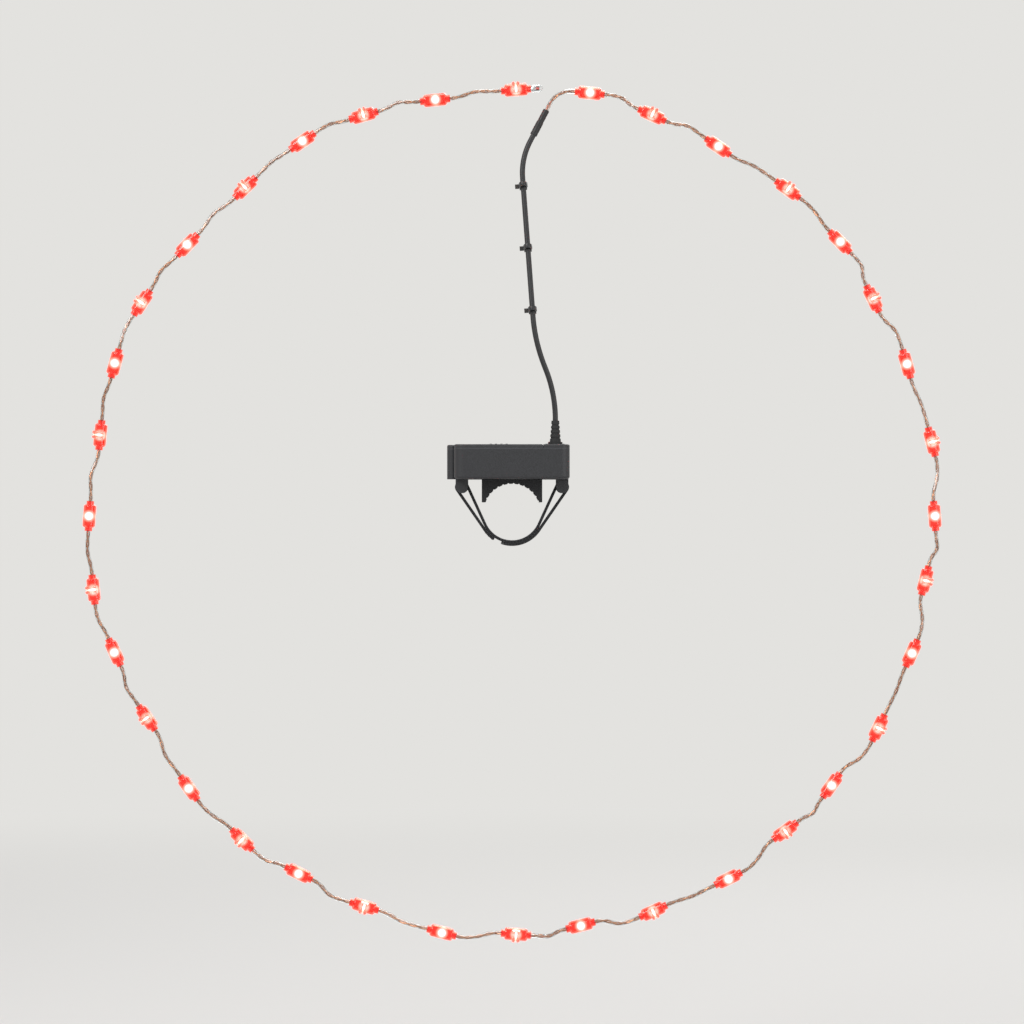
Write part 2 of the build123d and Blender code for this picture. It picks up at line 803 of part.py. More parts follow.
# The button: a soft cap with a flange under the deck and a stem in the switch
button_top = case_top + guard_height + button_proud
flange_top = rim - button_ease
with BuildPart() as power_button:
    with BuildSketch(Plane(origin=(*button_at, 0), x_dir=(1, 0, 0), z_dir=(0, -1, 0))):
        with BuildLine():
            Polyline(
                (button_radius - button_round, button_top),
                (0, button_top),
                (0, switch_top - button_stem_grip),
                (button_stem_radius, switch_top - button_stem_grip),
                (button_stem_radius, flange_top - button_flange_thick),
                (button_radius + button_flange, flange_top - button_flange_thick),
                (button_radius + button_flange, flange_top),
                (button_radius, flange_top),
                (button_radius, button_top - button_round),
            )
            CenterArc(
                (button_radius - button_round, button_top - button_round), button_round, 0, 90
            )
        make_face()
    revolve(axis=Axis((*button_at, 0), (0, 0, 1)))

# The gland: a rubber grommet in the deck with a tapered boot round the lead
boot_foot = gland_neck_radius - snug
boot_bore = lead_radius + snug
boot_tip = boot_bore + gland_tip_wall
rim_radius = gland_neck_radius + gland_rim
boot_start = case_top + gland_rim_thick
with BuildPart() as cable_gland:
    with BuildSketch(Plane(origin=(*gland_at, 0), x_dir=(1, 0, 0), z_dir=(0, -1, 0))):
        with BuildLine():
            Polyline(
                (boot_bore, boot_top),
                (boot_bore, rim - gland_rim_thick),
                (rim_radius, rim - gland_rim_thick),
                (rim_radius, rim),
                (boot_foot, rim),
                (boot_foot, case_top),
                (rim_radius, case_top),
                (rim_radius, boot_start),
                (boot_bore + gland_boot_wall, boot_start),
                (boot_tip, boot_top),
                (boot_bore, boot_top),
            )
        make_face()
    revolve(axis=Axis((*gland_at, 0), (0, 0, 1)))
    groove_pitch = gland_boot_length / (gland_groove_count + 1)
    for i in range(1, gland_groove_count + 1):
        share = i / (gland_groove_count + 1)
        radius = boot_bore + gland_boot_wall + (gland_tip_wall - gland_boot_wall) * share
        with BuildSketch(Plane.XY.offset(boot_start + i * groove_pitch)):
            with Locations(gland_at):
                Circle(rim_radius)
                Circle(radius - gland_groove_depth, mode=Mode.SUBTRACT)
        extrude(amount=gland_groove_width / 2, both=True, mode=Mode.SUBTRACT)

# The pad between case and hub
pad_edge_x = hub_radius * sin(radians(pad_angle))
pad_edge_z = hub_radius * cos(radians(pad_angle))
with BuildPart() as hub_pad:
    with BuildSketch(Plane.XZ):
        with BuildLine():
            Polyline(
                (pad_edge_x, pad_edge_z),
                (pad_edge_x + pad_lip, pad_edge_z),
                (pad_edge_x + pad_lip, case_bottom),
                (-pad_edge_x - pad_lip, case_bottom),
                (-pad_edge_x - pad_lip, pad_edge_z),
                (-pad_edge_x, pad_edge_z),
            )
            CenterArc((0, 0), hub_radius, 90 + pad_angle, -2 * pad_angle)
        make_face()
    extrude(amount=strap_width / 2, both=True)
    lip_edges = hub_pad.edges().filter_by(Axis.Y).group_by(Axis.Z)[0]
    fillet(lip_edges.filter_by(lambda edge: abs(edge.center().X) > pad_edge_x + pad_lip / 2), pad_lip_round)

# The strap: under the hub, round both bars, and back over itself
bar_reach = hypot(bar_x, bar_z)
bar_bearing = atan2(bar_z, bar_x)
band_line = hub_radius + strap_thick / 2
flap_line = band_line + strap_thick
band_leave = degrees(bar_bearing - acos((band_line + bar_wrap) / bar_reach))
flap_leave = degrees(bar_bearing - acos((flap_line - bar_wrap) / bar_reach))


def around(middle, radius, angle):
    """Point on a circle in the strap's plane."""
    return (
        middle[0] + radius * cos(radians(angle)),
        middle[1] + radius * sin(radians(angle)),
    )


def lay(side, angle):
    """An angle on the right half of the strap, or its mirror image on the left."""
    return angle if side > 0 else 180 - angle


def band_route(side, skin):
    """One skin of the strap from below the hub to a bar and round it."""
    bar = (side * bar_x, bar_z)
    on_hub = band_line + skin
    on_bar = bar_wrap - skin
    off_hub = around((0, 0), on_hub, lay(side, band_leave))
    onto_bar = around(bar, on_bar, lay(side, band_leave + 180))
    CenterArc((0, 0), on_hub, -90, side * (90 + band_leave))
    Line(off_hub, onto_bar)
    CenterArc(bar, on_bar, lay(side, band_leave + 180), side * (flap_leave - band_leave - 180))
    return around((0, 0), on_hub, -90), around(bar, on_bar, lay(side, flap_leave))


def flap_route(side, skin, wrap):
    """One skin of the strap's end, from the bar back down round the hub."""
    bar = (side * bar_x, bar_z)
    on_hub = flap_line - skin
    on_bar = bar_wrap - skin
    off_bar = around(bar, on_bar, lay(side, flap_leave))
    Line(off_bar, around((0, 0), on_hub, lay(side, flap_leave)))
    CenterArc((0, 0), on_hub, lay(side, flap_leave), -side * wrap)
    return off_bar, around((0, 0), on_hub, lay(side, flap_leave - wrap))


half_thick = strap_thick / 2
with BuildPart() as hub_strap:
    for side, wrap in ((1, flap_wrap), (-1, seam_wrap)):
        with BuildSketch(Plane.XZ):
            with BuildLine():
                inner_ends = band_route(side, -half_thick)
                outer_ends = band_route(side, half_thick)
                Line(inner_ends[0], outer_ends[0])
                Line(inner_ends[1], outer_ends[1])
            make_face()
        extrude(amount=strap_width / 2, both=True)
        with BuildSketch(Plane.XZ):
            with BuildLine():
                inner_ends = flap_route(side, -half_thick, wrap)
                outer_ends = flap_route(side, half_thick, wrap)
                Line(inner_ends[0], outer_ends[0])
                Line(inner_ends[1], outer_ends[1])
            make_face()
        extrude(amount=strap_width / 2, both=True)

pieces = {
    "led_boards": led_boards,
    "led_chips": led_chips,
    "string_tube": string_tube,
    "string_wires": string_wires,
    "string_end_cap": string_end_cap,
    "splice_sleeve": splice_sleeve,
    "lead_cable": lead_cable,
    "lead_ties": lead_ties,
    "case_tray": case_tray,
    "case_deck": case_deck,
    "battery_door": battery_door,
    "door_seal": door_seal,
    "door_screw_left": door_screw_left,
    "door_screw_right": door_screw_right,
    "cells": cells,
    "contact_plates": contact_plates,
    "contact_springs": contact_springs,
    "circuit_board": circuit_board,
    "controller_chip": controller_chip,
    "switch_body": switch_body,
    "power_button": power_button,
    "cable_gland": cable_gland,
    "hub_pad": hub_pad,
    "hub_strap": hub_strap,
}

os.makedirs("parts", exist_ok=True)
for name, piece in pieces.items():
    piece.part.label = name
    export_step(piece.part, f"parts/{name}.step")
for led_lens in led_lenses:
    export_step(led_lens.part, f"parts/{led_lens.part.label}.step")
print("pieces", len(pieces) + len(led_lenses))
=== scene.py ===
# %% [markdown]
# # A string of spoke lights
#
# Thirty-six lamp capsules hang on a clear string and clip on as many spokes. A
# black lead runs down one spoke to a battery case, which a strap holds on the
# hub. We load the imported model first. Every hard part keeps the shape it has
# there and gets a finish, and the soft, fine or woven parts are modelled here.

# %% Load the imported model
import math

import bmesh
import bpy
from mathutils import Matrix, Vector


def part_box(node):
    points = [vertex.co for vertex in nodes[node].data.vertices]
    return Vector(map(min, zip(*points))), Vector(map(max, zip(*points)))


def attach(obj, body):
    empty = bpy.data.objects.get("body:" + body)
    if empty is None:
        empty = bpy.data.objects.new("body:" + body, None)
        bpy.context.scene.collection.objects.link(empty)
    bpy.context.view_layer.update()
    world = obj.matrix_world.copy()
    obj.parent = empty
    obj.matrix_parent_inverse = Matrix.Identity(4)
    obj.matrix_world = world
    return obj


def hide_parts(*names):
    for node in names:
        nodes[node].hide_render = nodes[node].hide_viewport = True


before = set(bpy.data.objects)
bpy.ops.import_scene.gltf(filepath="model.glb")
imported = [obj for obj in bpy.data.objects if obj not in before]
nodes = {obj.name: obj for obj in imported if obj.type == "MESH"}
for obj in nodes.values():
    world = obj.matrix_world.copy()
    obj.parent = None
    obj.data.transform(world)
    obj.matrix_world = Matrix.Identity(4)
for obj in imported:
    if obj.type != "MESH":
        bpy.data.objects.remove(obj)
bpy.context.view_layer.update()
MM = 0.001

# %% [markdown]
# ## Small helpers
#
# Colours are written as on a paint chart, in sRGB hex, and one function turns
# them to the linear values that a shader wants. Another adds a node with its
# settings and links, so that each finish below reads like a recipe. A third
# gives a finish its fine relief from a noise, because no moulded, drawn or
# printed surface is quite even, and the eye takes an even one for a model.

# %% Colour and node helpers


def srgb(code):
    """Linear RGBA of an sRGB hex colour."""
    parts = [int(code[i : i + 2], 16) / 255 for i in (1, 3, 5)]
    linear = [c / 12.92 if c <= 0.04045 else ((c + 0.055) / 1.055) ** 2.4 for c in parts]
    return (*linear, 1.0)


def add_node(tree, kind, inputs=(), stops=(), **settings):
    """Add a node, set its settings, and link or set its inputs.

    The inputs are a dict of sockets, or a list in the sockets' own order. A node
    that is given as an input stands for its first output."""
    made = tree.nodes.new(kind)
    for name, value in settings.items():
        setattr(made, name, value)
    for name, value in inputs.items() if isinstance(inputs, dict) else enumerate(inputs):
        if isinstance(value, bpy.types.Node):
            value = value.outputs[0]
        if isinstance(value, bpy.types.NodeSocket):
            tree.links.new(value, made.inputs[name])
        else:
            made.inputs[name].default_value = value
    if stops:
        ramp = made.color_ramp
        while len(ramp.elements) < len(stops):
            ramp.elements.new(0.5)
        for element, (place, colour) in zip(ramp.elements, stops):
            element.position = place
            element.color = srgb(colour)
    return made


def finish(name, colour, **sockets):
    """A material with one Principled shader, and constants set on its own sockets."""
    made = bpy.data.materials.new(name)
    made.use_nodes = True
    shader = made.node_tree.nodes["Principled BSDF"]
    shader.inputs["Base Color"].default_value = srgb(colour)
    for socket, value in sockets.items():
        shader.inputs[socket.replace("_", " ")].default_value = value
    return made


TONE_SPAN, GLOSS_SPAN = (0.35, 0.65), (0.3, 0.7)  # where most values of the noise lie


def grain(made, size, depth, tones=None, rough=None, detail=3.0):
    """Give a finish a fine random relief, with tones and gloss that follow it.

    size is the grain in millimetres, and depth how deep its relief is."""
    tree = made.node_tree
    shader = tree.nodes["Principled BSDF"]
    coords = add_node(tree, "ShaderNodeTexCoord")
    noise = add_node(
        tree,
        "ShaderNodeTexNoise",
        {"Vector": coords.outputs["Object"], "Scale": 1 / (size * MM), "Detail": detail},
    )
    bump = add_node(tree, "ShaderNodeBump", {"Height": noise, "Distance": depth * MM, "Strength": 1.0})
    tree.links.new(bump.outputs[0], shader.inputs["Normal"])
    if tones:
        ramp = add_node(tree, "ShaderNodeValToRGB", {"Fac": noise}, stops=list(zip(TONE_SPAN, tones)))
        tree.links.new(ramp.outputs[0], shader.inputs["Base Color"])
    if rough:
        spans = dict(zip(("From Min", "From Max", "To Min", "To Max"), (*GLOSS_SPAN, *rough)))
        spread = add_node(tree, "ShaderNodeMapRange", {"Value": noise, **spans})
        tree.links.new(spread.outputs[0], shader.inputs["Roughness"])
    return made


# %% [markdown]
# ## Where the lamps sit
#
# The string's route is worked out from the spokes that it is worn by, as a maker
# would: 36 of them, whose feet lie in turn on the near and the far side. Each
# lamp sits on the inner side of its spoke, 240 mm from the middle of the ring, a
# little unevenly. These are the spokes' and the lamps' own sizes in millimetres.

# %% The spokes and the lamps on them
SPOKES = 36
SPOKE_R = 1.0
SPOKE_FOOT_R, SPOKE_FOOT_Y, SPOKE_HEAD_R, SPOKE_LEAN = 22.0, 36.0, 270.0, 60
RING_R, SWAY, SWAY_TURN = 240.0, 2.0, 100
LENS_LENGTH, LENS_R = 17.0, 3.487
CLIP_STEM = 1.0
CLIP_PLACE = LENS_R + CLIP_STEM + SPOKE_R
TUBE_R, TUBE_WALL, TUBE_GRIP = 1.3, 0.3, 2.2
WIRE_R, WIRE_PLACE = 0.4, 0.5
BOARD_LENGTH = 9.0
LEAD_R = 1.5
RING_AXIS = Vector((0, 1, 0))
IN_METRES = Matrix.Diagonal((MM, MM, MM, 1))


def spoke_line(number):
    """Foot and direction of a spoke, counted clockwise from the topmost one."""
    turn = math.radians(360 / SPOKES * number)
    foot_turn = turn + math.radians(SPOKE_LEAN if number % 4 < 2 else -SPOKE_LEAN)
    side = 1 if number % 2 else -1
    foot_x, foot_z = SPOKE_FOOT_R * math.sin(foot_turn), SPOKE_FOOT_R * math.cos(foot_turn)
    foot = Vector((foot_x, side * SPOKE_FOOT_Y, foot_z))
    head = Vector((SPOKE_HEAD_R * math.sin(turn), 0, SPOKE_HEAD_R * math.cos(turn)))
    return foot, (head - foot).normalized()


def lamp_frame(number):
    """The lamp's own frame: X along the string, Z towards its spoke."""
    foot, way = spoke_line(number)
    side = 1 if number % 2 else -1
    radius = RING_R + SWAY * math.sin(math.radians(SWAY_TURN * number))
    a = way.x**2 + way.z**2
    b = foot.x * way.x + foot.z * way.z
    c = foot.x**2 + foot.z**2 - radius**2
    held = foot + way * ((-b + math.sqrt(b * b - a * c)) / a)
    out = (RING_AXIS - way * way.y).normalized() * side
    along = out.cross(way) * side
    middle = held - out * CLIP_PLACE
    return Matrix((along, out.cross(along), out)).transposed().to_4x4(), middle


def lamp_matrix(number):
    """Matrix that sets a lamp-sized shape, modelled in millimetres, in its place."""
    turned, middle = lamp_frame(number)
    return IN_METRES @ Matrix.Translation(middle) @ turned


lamps = [lamp_frame(number) for number in range(1, SPOKES + 1)]


def lamp_end(number, reach):
    """A point on the axis of a lamp, ahead of its middle or behind it, in millimetres."""
    turned, middle = lamps[number]
    return middle + turned.col[0].to_3d() * reach


print("lamps", len(lamps), "lamp 36 at", [round(c, 1) for c in lamps[-1][1]])

# %% [markdown]
# ## Routes of the string and the lead
#
# Between two lamps the string leaves straight, bows out a little, away from the
# middle of the ring, and comes in straight again. A Bezier spline can follow
# straight runs and round arcs exactly: each corner gets two points, one at
# either end of its arc, with handles that make the curve between them round.

# %% Routes
STRAIGHT_END, BOW, BOW_SWAY = 4.5, 1.6, 0.9
LEAD_GAP = 0.15
STRAIGHT_SHARE, BEND_SHARE = 0.9, 0.45
FIRST_RUN, LEAVE_HEIGHT, LEAVE_R, SPLICE_SHARE = 10.0, 200.0, 40.0, 0.52
LEAD_OFFSET = SPOKE_R + LEAD_GAP + LEAD_R
LEAD_RISE, LEAD_LANDING = 15.0, 30.0

lead_foot, lead_way = spoke_line(0)
inward = (RING_AXIS - lead_way * lead_way.y).normalized()


def on_spoke(height):
    """Point at a height on the spoke that carries the lead."""
    return lead_foot + lead_way * ((height - lead_foot.z) / lead_way.z)


def on_lead(height):
    """Point on the lead's line beside that spoke."""
    return on_spoke(height) + inward * LEAD_OFFSET


first_corner = lamp_end(0, -LENS_LENGTH / 2 - FIRST_RUN)
lead_leave = on_lead(LEAVE_HEIGHT)
splice = lead_leave + (first_corner - lead_leave) * SPLICE_SHARE
splice_way = (first_corner - lead_leave).normalized()


def string_run(number, reach):
    """Route between a lamp and the next, and the room each of its bends takes."""
    leave = lamp_end(number, LENS_LENGTH / 2 + STRAIGHT_END)
    enter = lamp_end(number + 1, -LENS_LENGTH / 2 - STRAIGHT_END)
    middle = (leave + enter) / 2
    outward = Vector((middle.x, 0, middle.z)).normalized()
    crest = middle + outward * (BOW + BOW_SWAY * math.sin(math.radians(SWAY_TURN * number)))
    room = min(STRAIGHT_SHARE * STRAIGHT_END, BEND_SHARE * (crest - leave).length)
    return [lamp_end(number, reach), leave, crest, enter, lamp_end(number + 1, -reach)], [room] * 3


def string_routes(reach):
    """Every length of the string: from the splice, and then from lamp to lamp."""
    first = ([splice, first_corner, lamp_end(0, -reach)], [STRAIGHT_SHARE * FIRST_RUN])
    return [first] + [string_run(number, reach) for number in range(SPOKES - 1)]


def add_route(curve, points, rooms):
    """Add a Bezier spline of straight runs and round arcs, given in millimetres."""
    spline = curve.splines.new("BEZIER")
    spline.bezier_points.add(2 * len(rooms) + 1)
    marks = []
    for before, corner, after, room in zip(points, points[1:], points[2:], rooms):
        back, ahead = (before - corner).normalized(), (after - corner).normalized()
        turn = math.pi - back.angle(ahead)
        handle = room - 4 / 3 * math.tan(turn / 4) * room / math.tan(turn / 2)
        marks.append((corner + back * room, corner + back * handle, "in"))
        marks.append((corner + ahead * room, corner + ahead * handle, "out"))
    ends = [(points[0], marks[0][0], "out")] + marks + [(points[-1], marks[-1][0], "in")]
    for i, (mark, (place, pull, kind)) in enumerate(zip(spline.bezier_points, ends)):
        mark.co = place * MM
        near = ends[i - 1][0] if kind == "in" else ends[min(i + 1, len(ends) - 1)][0]
        mark.handle_left_type = mark.handle_right_type = "FREE"
        if i in (0, len(ends) - 1):
            mark.handle_left = mark.handle_right = (place + (pull - place) / 3) * MM
        elif kind == "in":
            mark.handle_left = (place + (near - place) / 3) * MM
            mark.handle_right = pull * MM
        else:
            mark.handle_left = pull * MM
            mark.handle_right = (place + (near - place) / 3) * MM


def placed(name, data):
    """An object in the scene that shows a mesh, a curve, a lamp or a camera."""
    made = bpy.data.objects.new(name, data)
    bpy.context.scene.collection.objects.link(made)
    return made


def new_curve(name, radius=0.0, sides=16, steps=6):
    """An empty 3-D curve, which a round bevel turns into tubes."""
    curve = bpy.data.curves.new(name, "CURVE")
    curve.dimensions = "3D"
    curve.resolution_u = steps
    curve.bevel_depth = radius * MM
    curve.bevel_resolution = sides // 4 - 1
    return curve


def curve_mesh(curve):
    """The mesh that a curve makes."""
    carrier = placed(curve.name, curve)
    bpy.context.view_layer.update()
    mesh = bpy.data.meshes.new_from_object(carrier.evaluated_get(bpy.context.evaluated_depsgraph_get()))
    bpy.data.objects.remove(carrier)
    return mesh


def route_points(points, rooms, steps=8):
    """Points along a route, in metres."""
    line = new_curve("line", steps=steps)
    add_route(line, points, rooms)
    return [vertex.co.copy() for vertex in curve_mesh(line).vertices]


print("splice at", [round(c, 1) for c in splice])

# %% [markdown]
# ## Making a piece
#
# Every new piece is a mesh whose place is in its vertices. One function gives
# it its name, its finish and its body, and hides the imported nodes it stands for.
# A few more hold the steps that several pieces share: rounded edges, an extruded
# row of edges, and many copies of one shape in a single mesh.

# %% Piece helper
SMOOTH = math.radians(35)


def add_piece(name, mesh, material, body, stands_for=()):
    """Show a mesh as a piece that rides on a body."""
    made = placed(name, mesh)
    mesh.materials.append(material)
    mesh.shade_smooth()
    mesh.set_sharp_from_angle(angle=SMOOTH)
    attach(made, body)
    if stands_for:
        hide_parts(*stands_for)
    return made


def to_mesh(name, bm):
    """End a bmesh as a mesh with its faces pointing outwards."""
    bmesh.ops.recalc_face_normals(bm, faces=bm.faces)
    mesh = bpy.data.meshes.new(name)
    bm.to_mesh(mesh)
    bm.free()
    return mesh


def rounded(bm, edges, width, segments):
    """Round some edges."""
    bmesh.ops.bevel(
        bm, geom=edges, offset=width, affect="EDGES", segments=segments, profile=0.5, material=-1
    )


def grown(bm, edges):
    """Extrude edges once, and give the new vertices and the new edges."""
    made = bmesh.ops.extrude_edge_only(bm, edges=edges)["geom"]
    kinds = (bmesh.types.BMVert, bmesh.types.BMEdge)
    return [[part for part in made if isinstance(part, kind)] for kind in kinds]


def soften(piece, width, segments):
    """Round the sharp edges of a piece with a live bevel."""
    bevel = piece.modifiers.new("round edges", "BEVEL")
    bevel.width, bevel.segments, bevel.limit_method = width * MM, segments, "ANGLE"


def repeated(name, one, places):
    """One mesh of many copies of a bmesh, each at its own matrix."""
    shape = bpy.data.meshes.new("one")
    one.to_mesh(shape)
    one.free()
    whole = bmesh.new()
    for place in places:
        start = len(whole.verts)
        whole.from_mesh(shape)
        bmesh.ops.transform(whole, verts=list(whole.verts)[start:], matrix=place)
    bpy.data.meshes.remove(shape)
    return to_mesh(name, whole)


# %% [markdown]
# ## The clear string
#
# The string is an extruded tube of clear soft PVC with two bare copper wires
# laid in it, twisted round each other. A curve with a round bevel gives the
# tube, and Solidify gives its wall. Clear plastic shows through two surfaces,
# so the wall has to be real for the light to bend as it does in the tube.

# %% Clear tube
clear_pvc = finish("clear_pvc_extruded", "#f4f6f6", Roughness=0.08, IOR=1.53, Transmission_Weight=1.0)
grain(clear_pvc, size=6.0, depth=0.02)

tube_curve = new_curve("string_sheath", TUBE_R, sides=16)
for route, rooms in string_routes(LENS_LENGTH / 2 - TUBE_GRIP):
    add_route(tube_curve, route, rooms)
TAIL_LENGTH = 7.0
tail = tube_curve.splines.new("POLY")
tail.points.add(1)
for mark, reach in zip(tail.points, (0, TAIL_LENGTH)):
    mark.co = (*(lamp_end(SPOKES - 1, LENS_LENGTH / 2 - TUBE_GRIP + reach) * MM), 1)
string_sheath = add_piece(
    "string_sheath", curve_mesh(tube_curve), clear_pvc, "case", ["string_tube"]
)
wall = string_sheath.modifiers.new("wall", "SOLIDIFY")
wall.thickness = TUBE_WALL * MM
wall.offset = -1.0
print("string tubes", len(tube_curve.splines), "faces", len(string_sheath.data.polygons))

# %% [markdown]
# ## The twisted wires
#
# Each length of string holds two bare wires that turn round each other three
# times from one lamp's board to the next. Drawn copper gives them a warm shine.
# We read points from the same route, step round it, and let a second bevelled
# curve make the wires.

# %% Twisted pair
TWISTS = 3
copper = finish("copper_drawn", "#c8875f", Metallic=1.0, Roughness=0.3)
grain(copper, size=0.35, depth=0.01, tones=("#a8623c", "#dba27b"), rough=(0.22, 0.42))


def twisted(line, start_turn):
    """Points of one wire that winds round a line."""
    lengths = [0.0]
    for here, there in zip(line, line[1:]):
        lengths.append(lengths[-1] + (there - here).length)
    wound = []
    for i, point in enumerate(line):
        way = (line[min(i + 1, len(line) - 1)] - line[max(i - 1, 0)]).normalized()
        across = way.cross(RING_AXIS).normalized()
        over = across.cross(way)
        turn = start_turn + 2 * math.pi * TWISTS * lengths[i] / lengths[-1]
        wound.append(point + (across * math.cos(turn) + over * math.sin(turn)) * WIRE_PLACE * MM)
    return wound


wire_curve = new_curve("string_conductors", WIRE_R, sides=8)
for route, rooms in string_routes(BOARD_LENGTH / 2):
    centre = route_points(route, rooms)
    for start_turn in (0, math.pi):
        wire = wire_curve.splines.new("POLY")
        points = twisted(centre, start_turn)
        wire.points.add(len(points) - 1)
        for mark, point in zip(wire.points, points):
            mark.co = (*point, 1)
wire_curve.use_fill_caps = True
string_conductors = add_piece(
    "string_conductors", curve_mesh(wire_curve), copper, "case", ["string_wires"]
)
print("wires", len(wire_curve.splines), "faces", len(string_conductors.data.polygons))

# %% [markdown]
# ## The lamps
#
# Each lamp is a small board with a chip on either face, potted in resin inside a
# clear capsule that is tinted red. Lit, the resin round the chips is white-hot
# and goes through pink to deep red at the capsule's ends. We shape one potting,
# write how hot it is at each vertex in an attribute, from its distance to the
# axis through both chips, and repeat it for all lamps. Its emission reads that.

# %% Lit resin in the capsules
RESIN_R, RESIN_HALF, RESIN_SHOULDER = 2.45, 5.35, 1.7
MAGNIFIED = 1.5  # by the capsule, which widens across the string what is seen through it
lit_resin = finish("resin_lit_red", "#ff6a55", Roughness=0.35, Emission_Strength=6.0)
lit_resin.cycles.emission_sampling = "NONE"
tree = lit_resin.node_tree
heat = add_node(tree, "ShaderNodeAttribute", attribute_name="heat")
glow = add_node(
    tree,
    "ShaderNodeValToRGB",
    {"Fac": heat.outputs["Fac"]},
    stops=[(0.0, "#4c0201"), (0.3, "#860703"), (0.48, "#cc2a1c"), (0.64, "#fff4fb")],
)
tree.links.new(glow.outputs[0], tree.nodes["Principled BSDF"].inputs["Emission Color"])

potting = bmesh.new()
bmesh.ops.create_cone(
    potting, cap_ends=True, segments=20, radius1=RESIN_R, radius2=RESIN_R,
    depth=2 * RESIN_HALF, matrix=Matrix.Rotation(math.pi / 2, 4, "Y"),
)
rims = [edge for edge in potting.edges if edge.calc_length() < RESIN_R]
rounded(potting, rims, RESIN_SHOULDER, 5)
long_edges = [edge for edge in potting.edges if edge.calc_length() > RESIN_HALF]
bmesh.ops.subdivide_edges(potting, edges=long_edges, cuts=12, use_grid_fill=True)
heat_layer = potting.verts.layers.float.new("heat")
for vert in potting.verts:
    vert[heat_layer] = max(0.0, 1.0 - math.hypot(vert.co.x, MAGNIFIED * vert.co.y) / RESIN_HALF)
resin_mesh = repeated("lamp_resin", potting, [lamp_matrix(number) for number in range(1, SPOKES + 1)])
add_piece("lamp_resin", resin_mesh, lit_resin, "case")
print("lamp resin faces", len(resin_mesh.polygons))

# %% [markdown]
# The capsule scatters some of that light, so its plastic glows as well. That glow
# is painted on the capsule as an emission colour, since the plastic is no lamp. The
# capsules are imported parts and carry no attribute, but all of them share one
# formula: a point's turn round the ring, counted in spokes, says how far along
# the string it is from the nearest lamp. The spokes lean one way and the other
# in pairs, which a cosine follows, and the lamps' distance from the middle is
# the sine that set them. Both distances together make a round spot of painted
# glow. The clip, on the outer side of even and odd lamps in turn, stands off and
# is given less of the painted glow.

# %% Clear red capsules
# The capsule's emission is a painted glow: white at each lamp, red along the string.
capsule = finish(
    "polycarbonate_clear_red_painted_glow", "#ff6e58", Roughness=0.06, IOR=1.58,
    Transmission_Weight=1.0, Emission_Strength=1.2,
)
grain(capsule, size=2.5, depth=0.015)
offsets = [math.atan2(middle.x, middle.z) * SPOKES / (2 * math.pi) for turned, middle in lamps]
lean_shift = sum(abs(offset - round(offset)) for offset in offsets) / SPOKES
radii = [math.hypot(middle.x, middle.z) for turned, middle in lamps]
spoke_pitch = 2 * math.pi * RING_R / SPOKES
GLOW_REACH, CLIP_STAND, CLIP_DARK, CLIP_LOSS = 8.5, 2.6, 3.4, 0.26

tree = capsule.node_tree
coords = add_node(tree, "ShaderNodeTexCoord").outputs["Object"]
x, y, z = add_node(tree, "ShaderNodeSeparateXYZ", [coords]).outputs
turn = add_node(tree, "ShaderNodeMath", [x, z], operation="ARCTAN2")
counted = add_node(tree, "ShaderNodeMath", [turn, SPOKES / (2 * math.pi)], operation="MULTIPLY")
nearest = add_node(tree, "ShaderNodeMath", [counted], operation="ROUND")
quarters = add_node(
    tree, "ShaderNodeMath", [nearest, math.pi / 2, -math.pi / 4], operation="MULTIPLY_ADD"
)
pairs = add_node(tree, "ShaderNodeMath", [quarters], operation="COSINE")
lean_swing = lean_shift * math.sqrt(2)
lamp_place = add_node(tree, "ShaderNodeMath", [pairs, lean_swing, nearest], operation="MULTIPLY_ADD")
along = add_node(tree, "ShaderNodeMath", [counted, lamp_place], operation="SUBTRACT")

flat = add_node(tree, "ShaderNodeVectorMath", [coords, (1, 0, 1)], operation="MULTIPLY")
radius = add_node(tree, "ShaderNodeVectorMath", [flat], operation="LENGTH").outputs["Value"]
swung = add_node(tree, "ShaderNodeMath", [nearest, math.radians(SWAY_TURN)], operation="MULTIPLY")
sway = add_node(tree, "ShaderNodeMath", [swung], operation="SINE")
mean_radius = sum(radii) / SPOKES
lamp_radius = add_node(
    tree, "ShaderNodeMath", [sway, SWAY * MM, mean_radius * MM], operation="MULTIPLY_ADD"
)
inside = add_node(tree, "ShaderNodeMath", [radius, lamp_radius], operation="SUBTRACT")
both = add_node(tree, "ShaderNodeCombineXYZ", {"X": along, "Y": inside})
in_mm = add_node(tree, "ShaderNodeVectorMath", [both, (spoke_pitch, 1 / MM, 0)], operation="MULTIPLY")
spot = add_node(tree, "ShaderNodeVectorMath", [in_mm], operation="LENGTH").outputs["Value"]

half_turns = add_node(tree, "ShaderNodeMath", [nearest, math.pi], operation="MULTIPLY")
sides = add_node(tree, "ShaderNodeMath", [half_turns], operation="COSINE")
aside = add_node(tree, "ShaderNodeMath", [y, sides], operation="MULTIPLY")
clip_from, clip_to = -CLIP_STAND * MM, -(CLIP_STAND + CLIP_DARK) * MM
on_clip = add_node(
    tree,
    "ShaderNodeMapRange",
    {"Value": aside, "From Min": clip_from, "From Max": clip_to, "To Max": CLIP_LOSS},
)
# Painted glow: the emission colour fades from white at the lamp to deep red, and is weaker on the clip.
fade = add_node(tree, "ShaderNodeMath", [spot, 1 / GLOW_REACH, on_clip], operation="MULTIPLY_ADD")
glow = add_node(
    tree,
    "ShaderNodeValToRGB",
    {"Fac": fade},
    stops=[
        (0.0, "#fff2fb"), (0.2, "#ffe8f0"), (0.31, "#ff8478"),
        (0.44, "#f4200e"), (0.66, "#980802"), (1.0, "#500301"),
    ],
)
tree.links.new(glow.outputs[0], tree.nodes["Principled BSDF"].inputs["Emission Color"])
print("lean in spoke steps", round(lean_shift, 4), "radii", round(min(radii), 2), round(max(radii), 2))

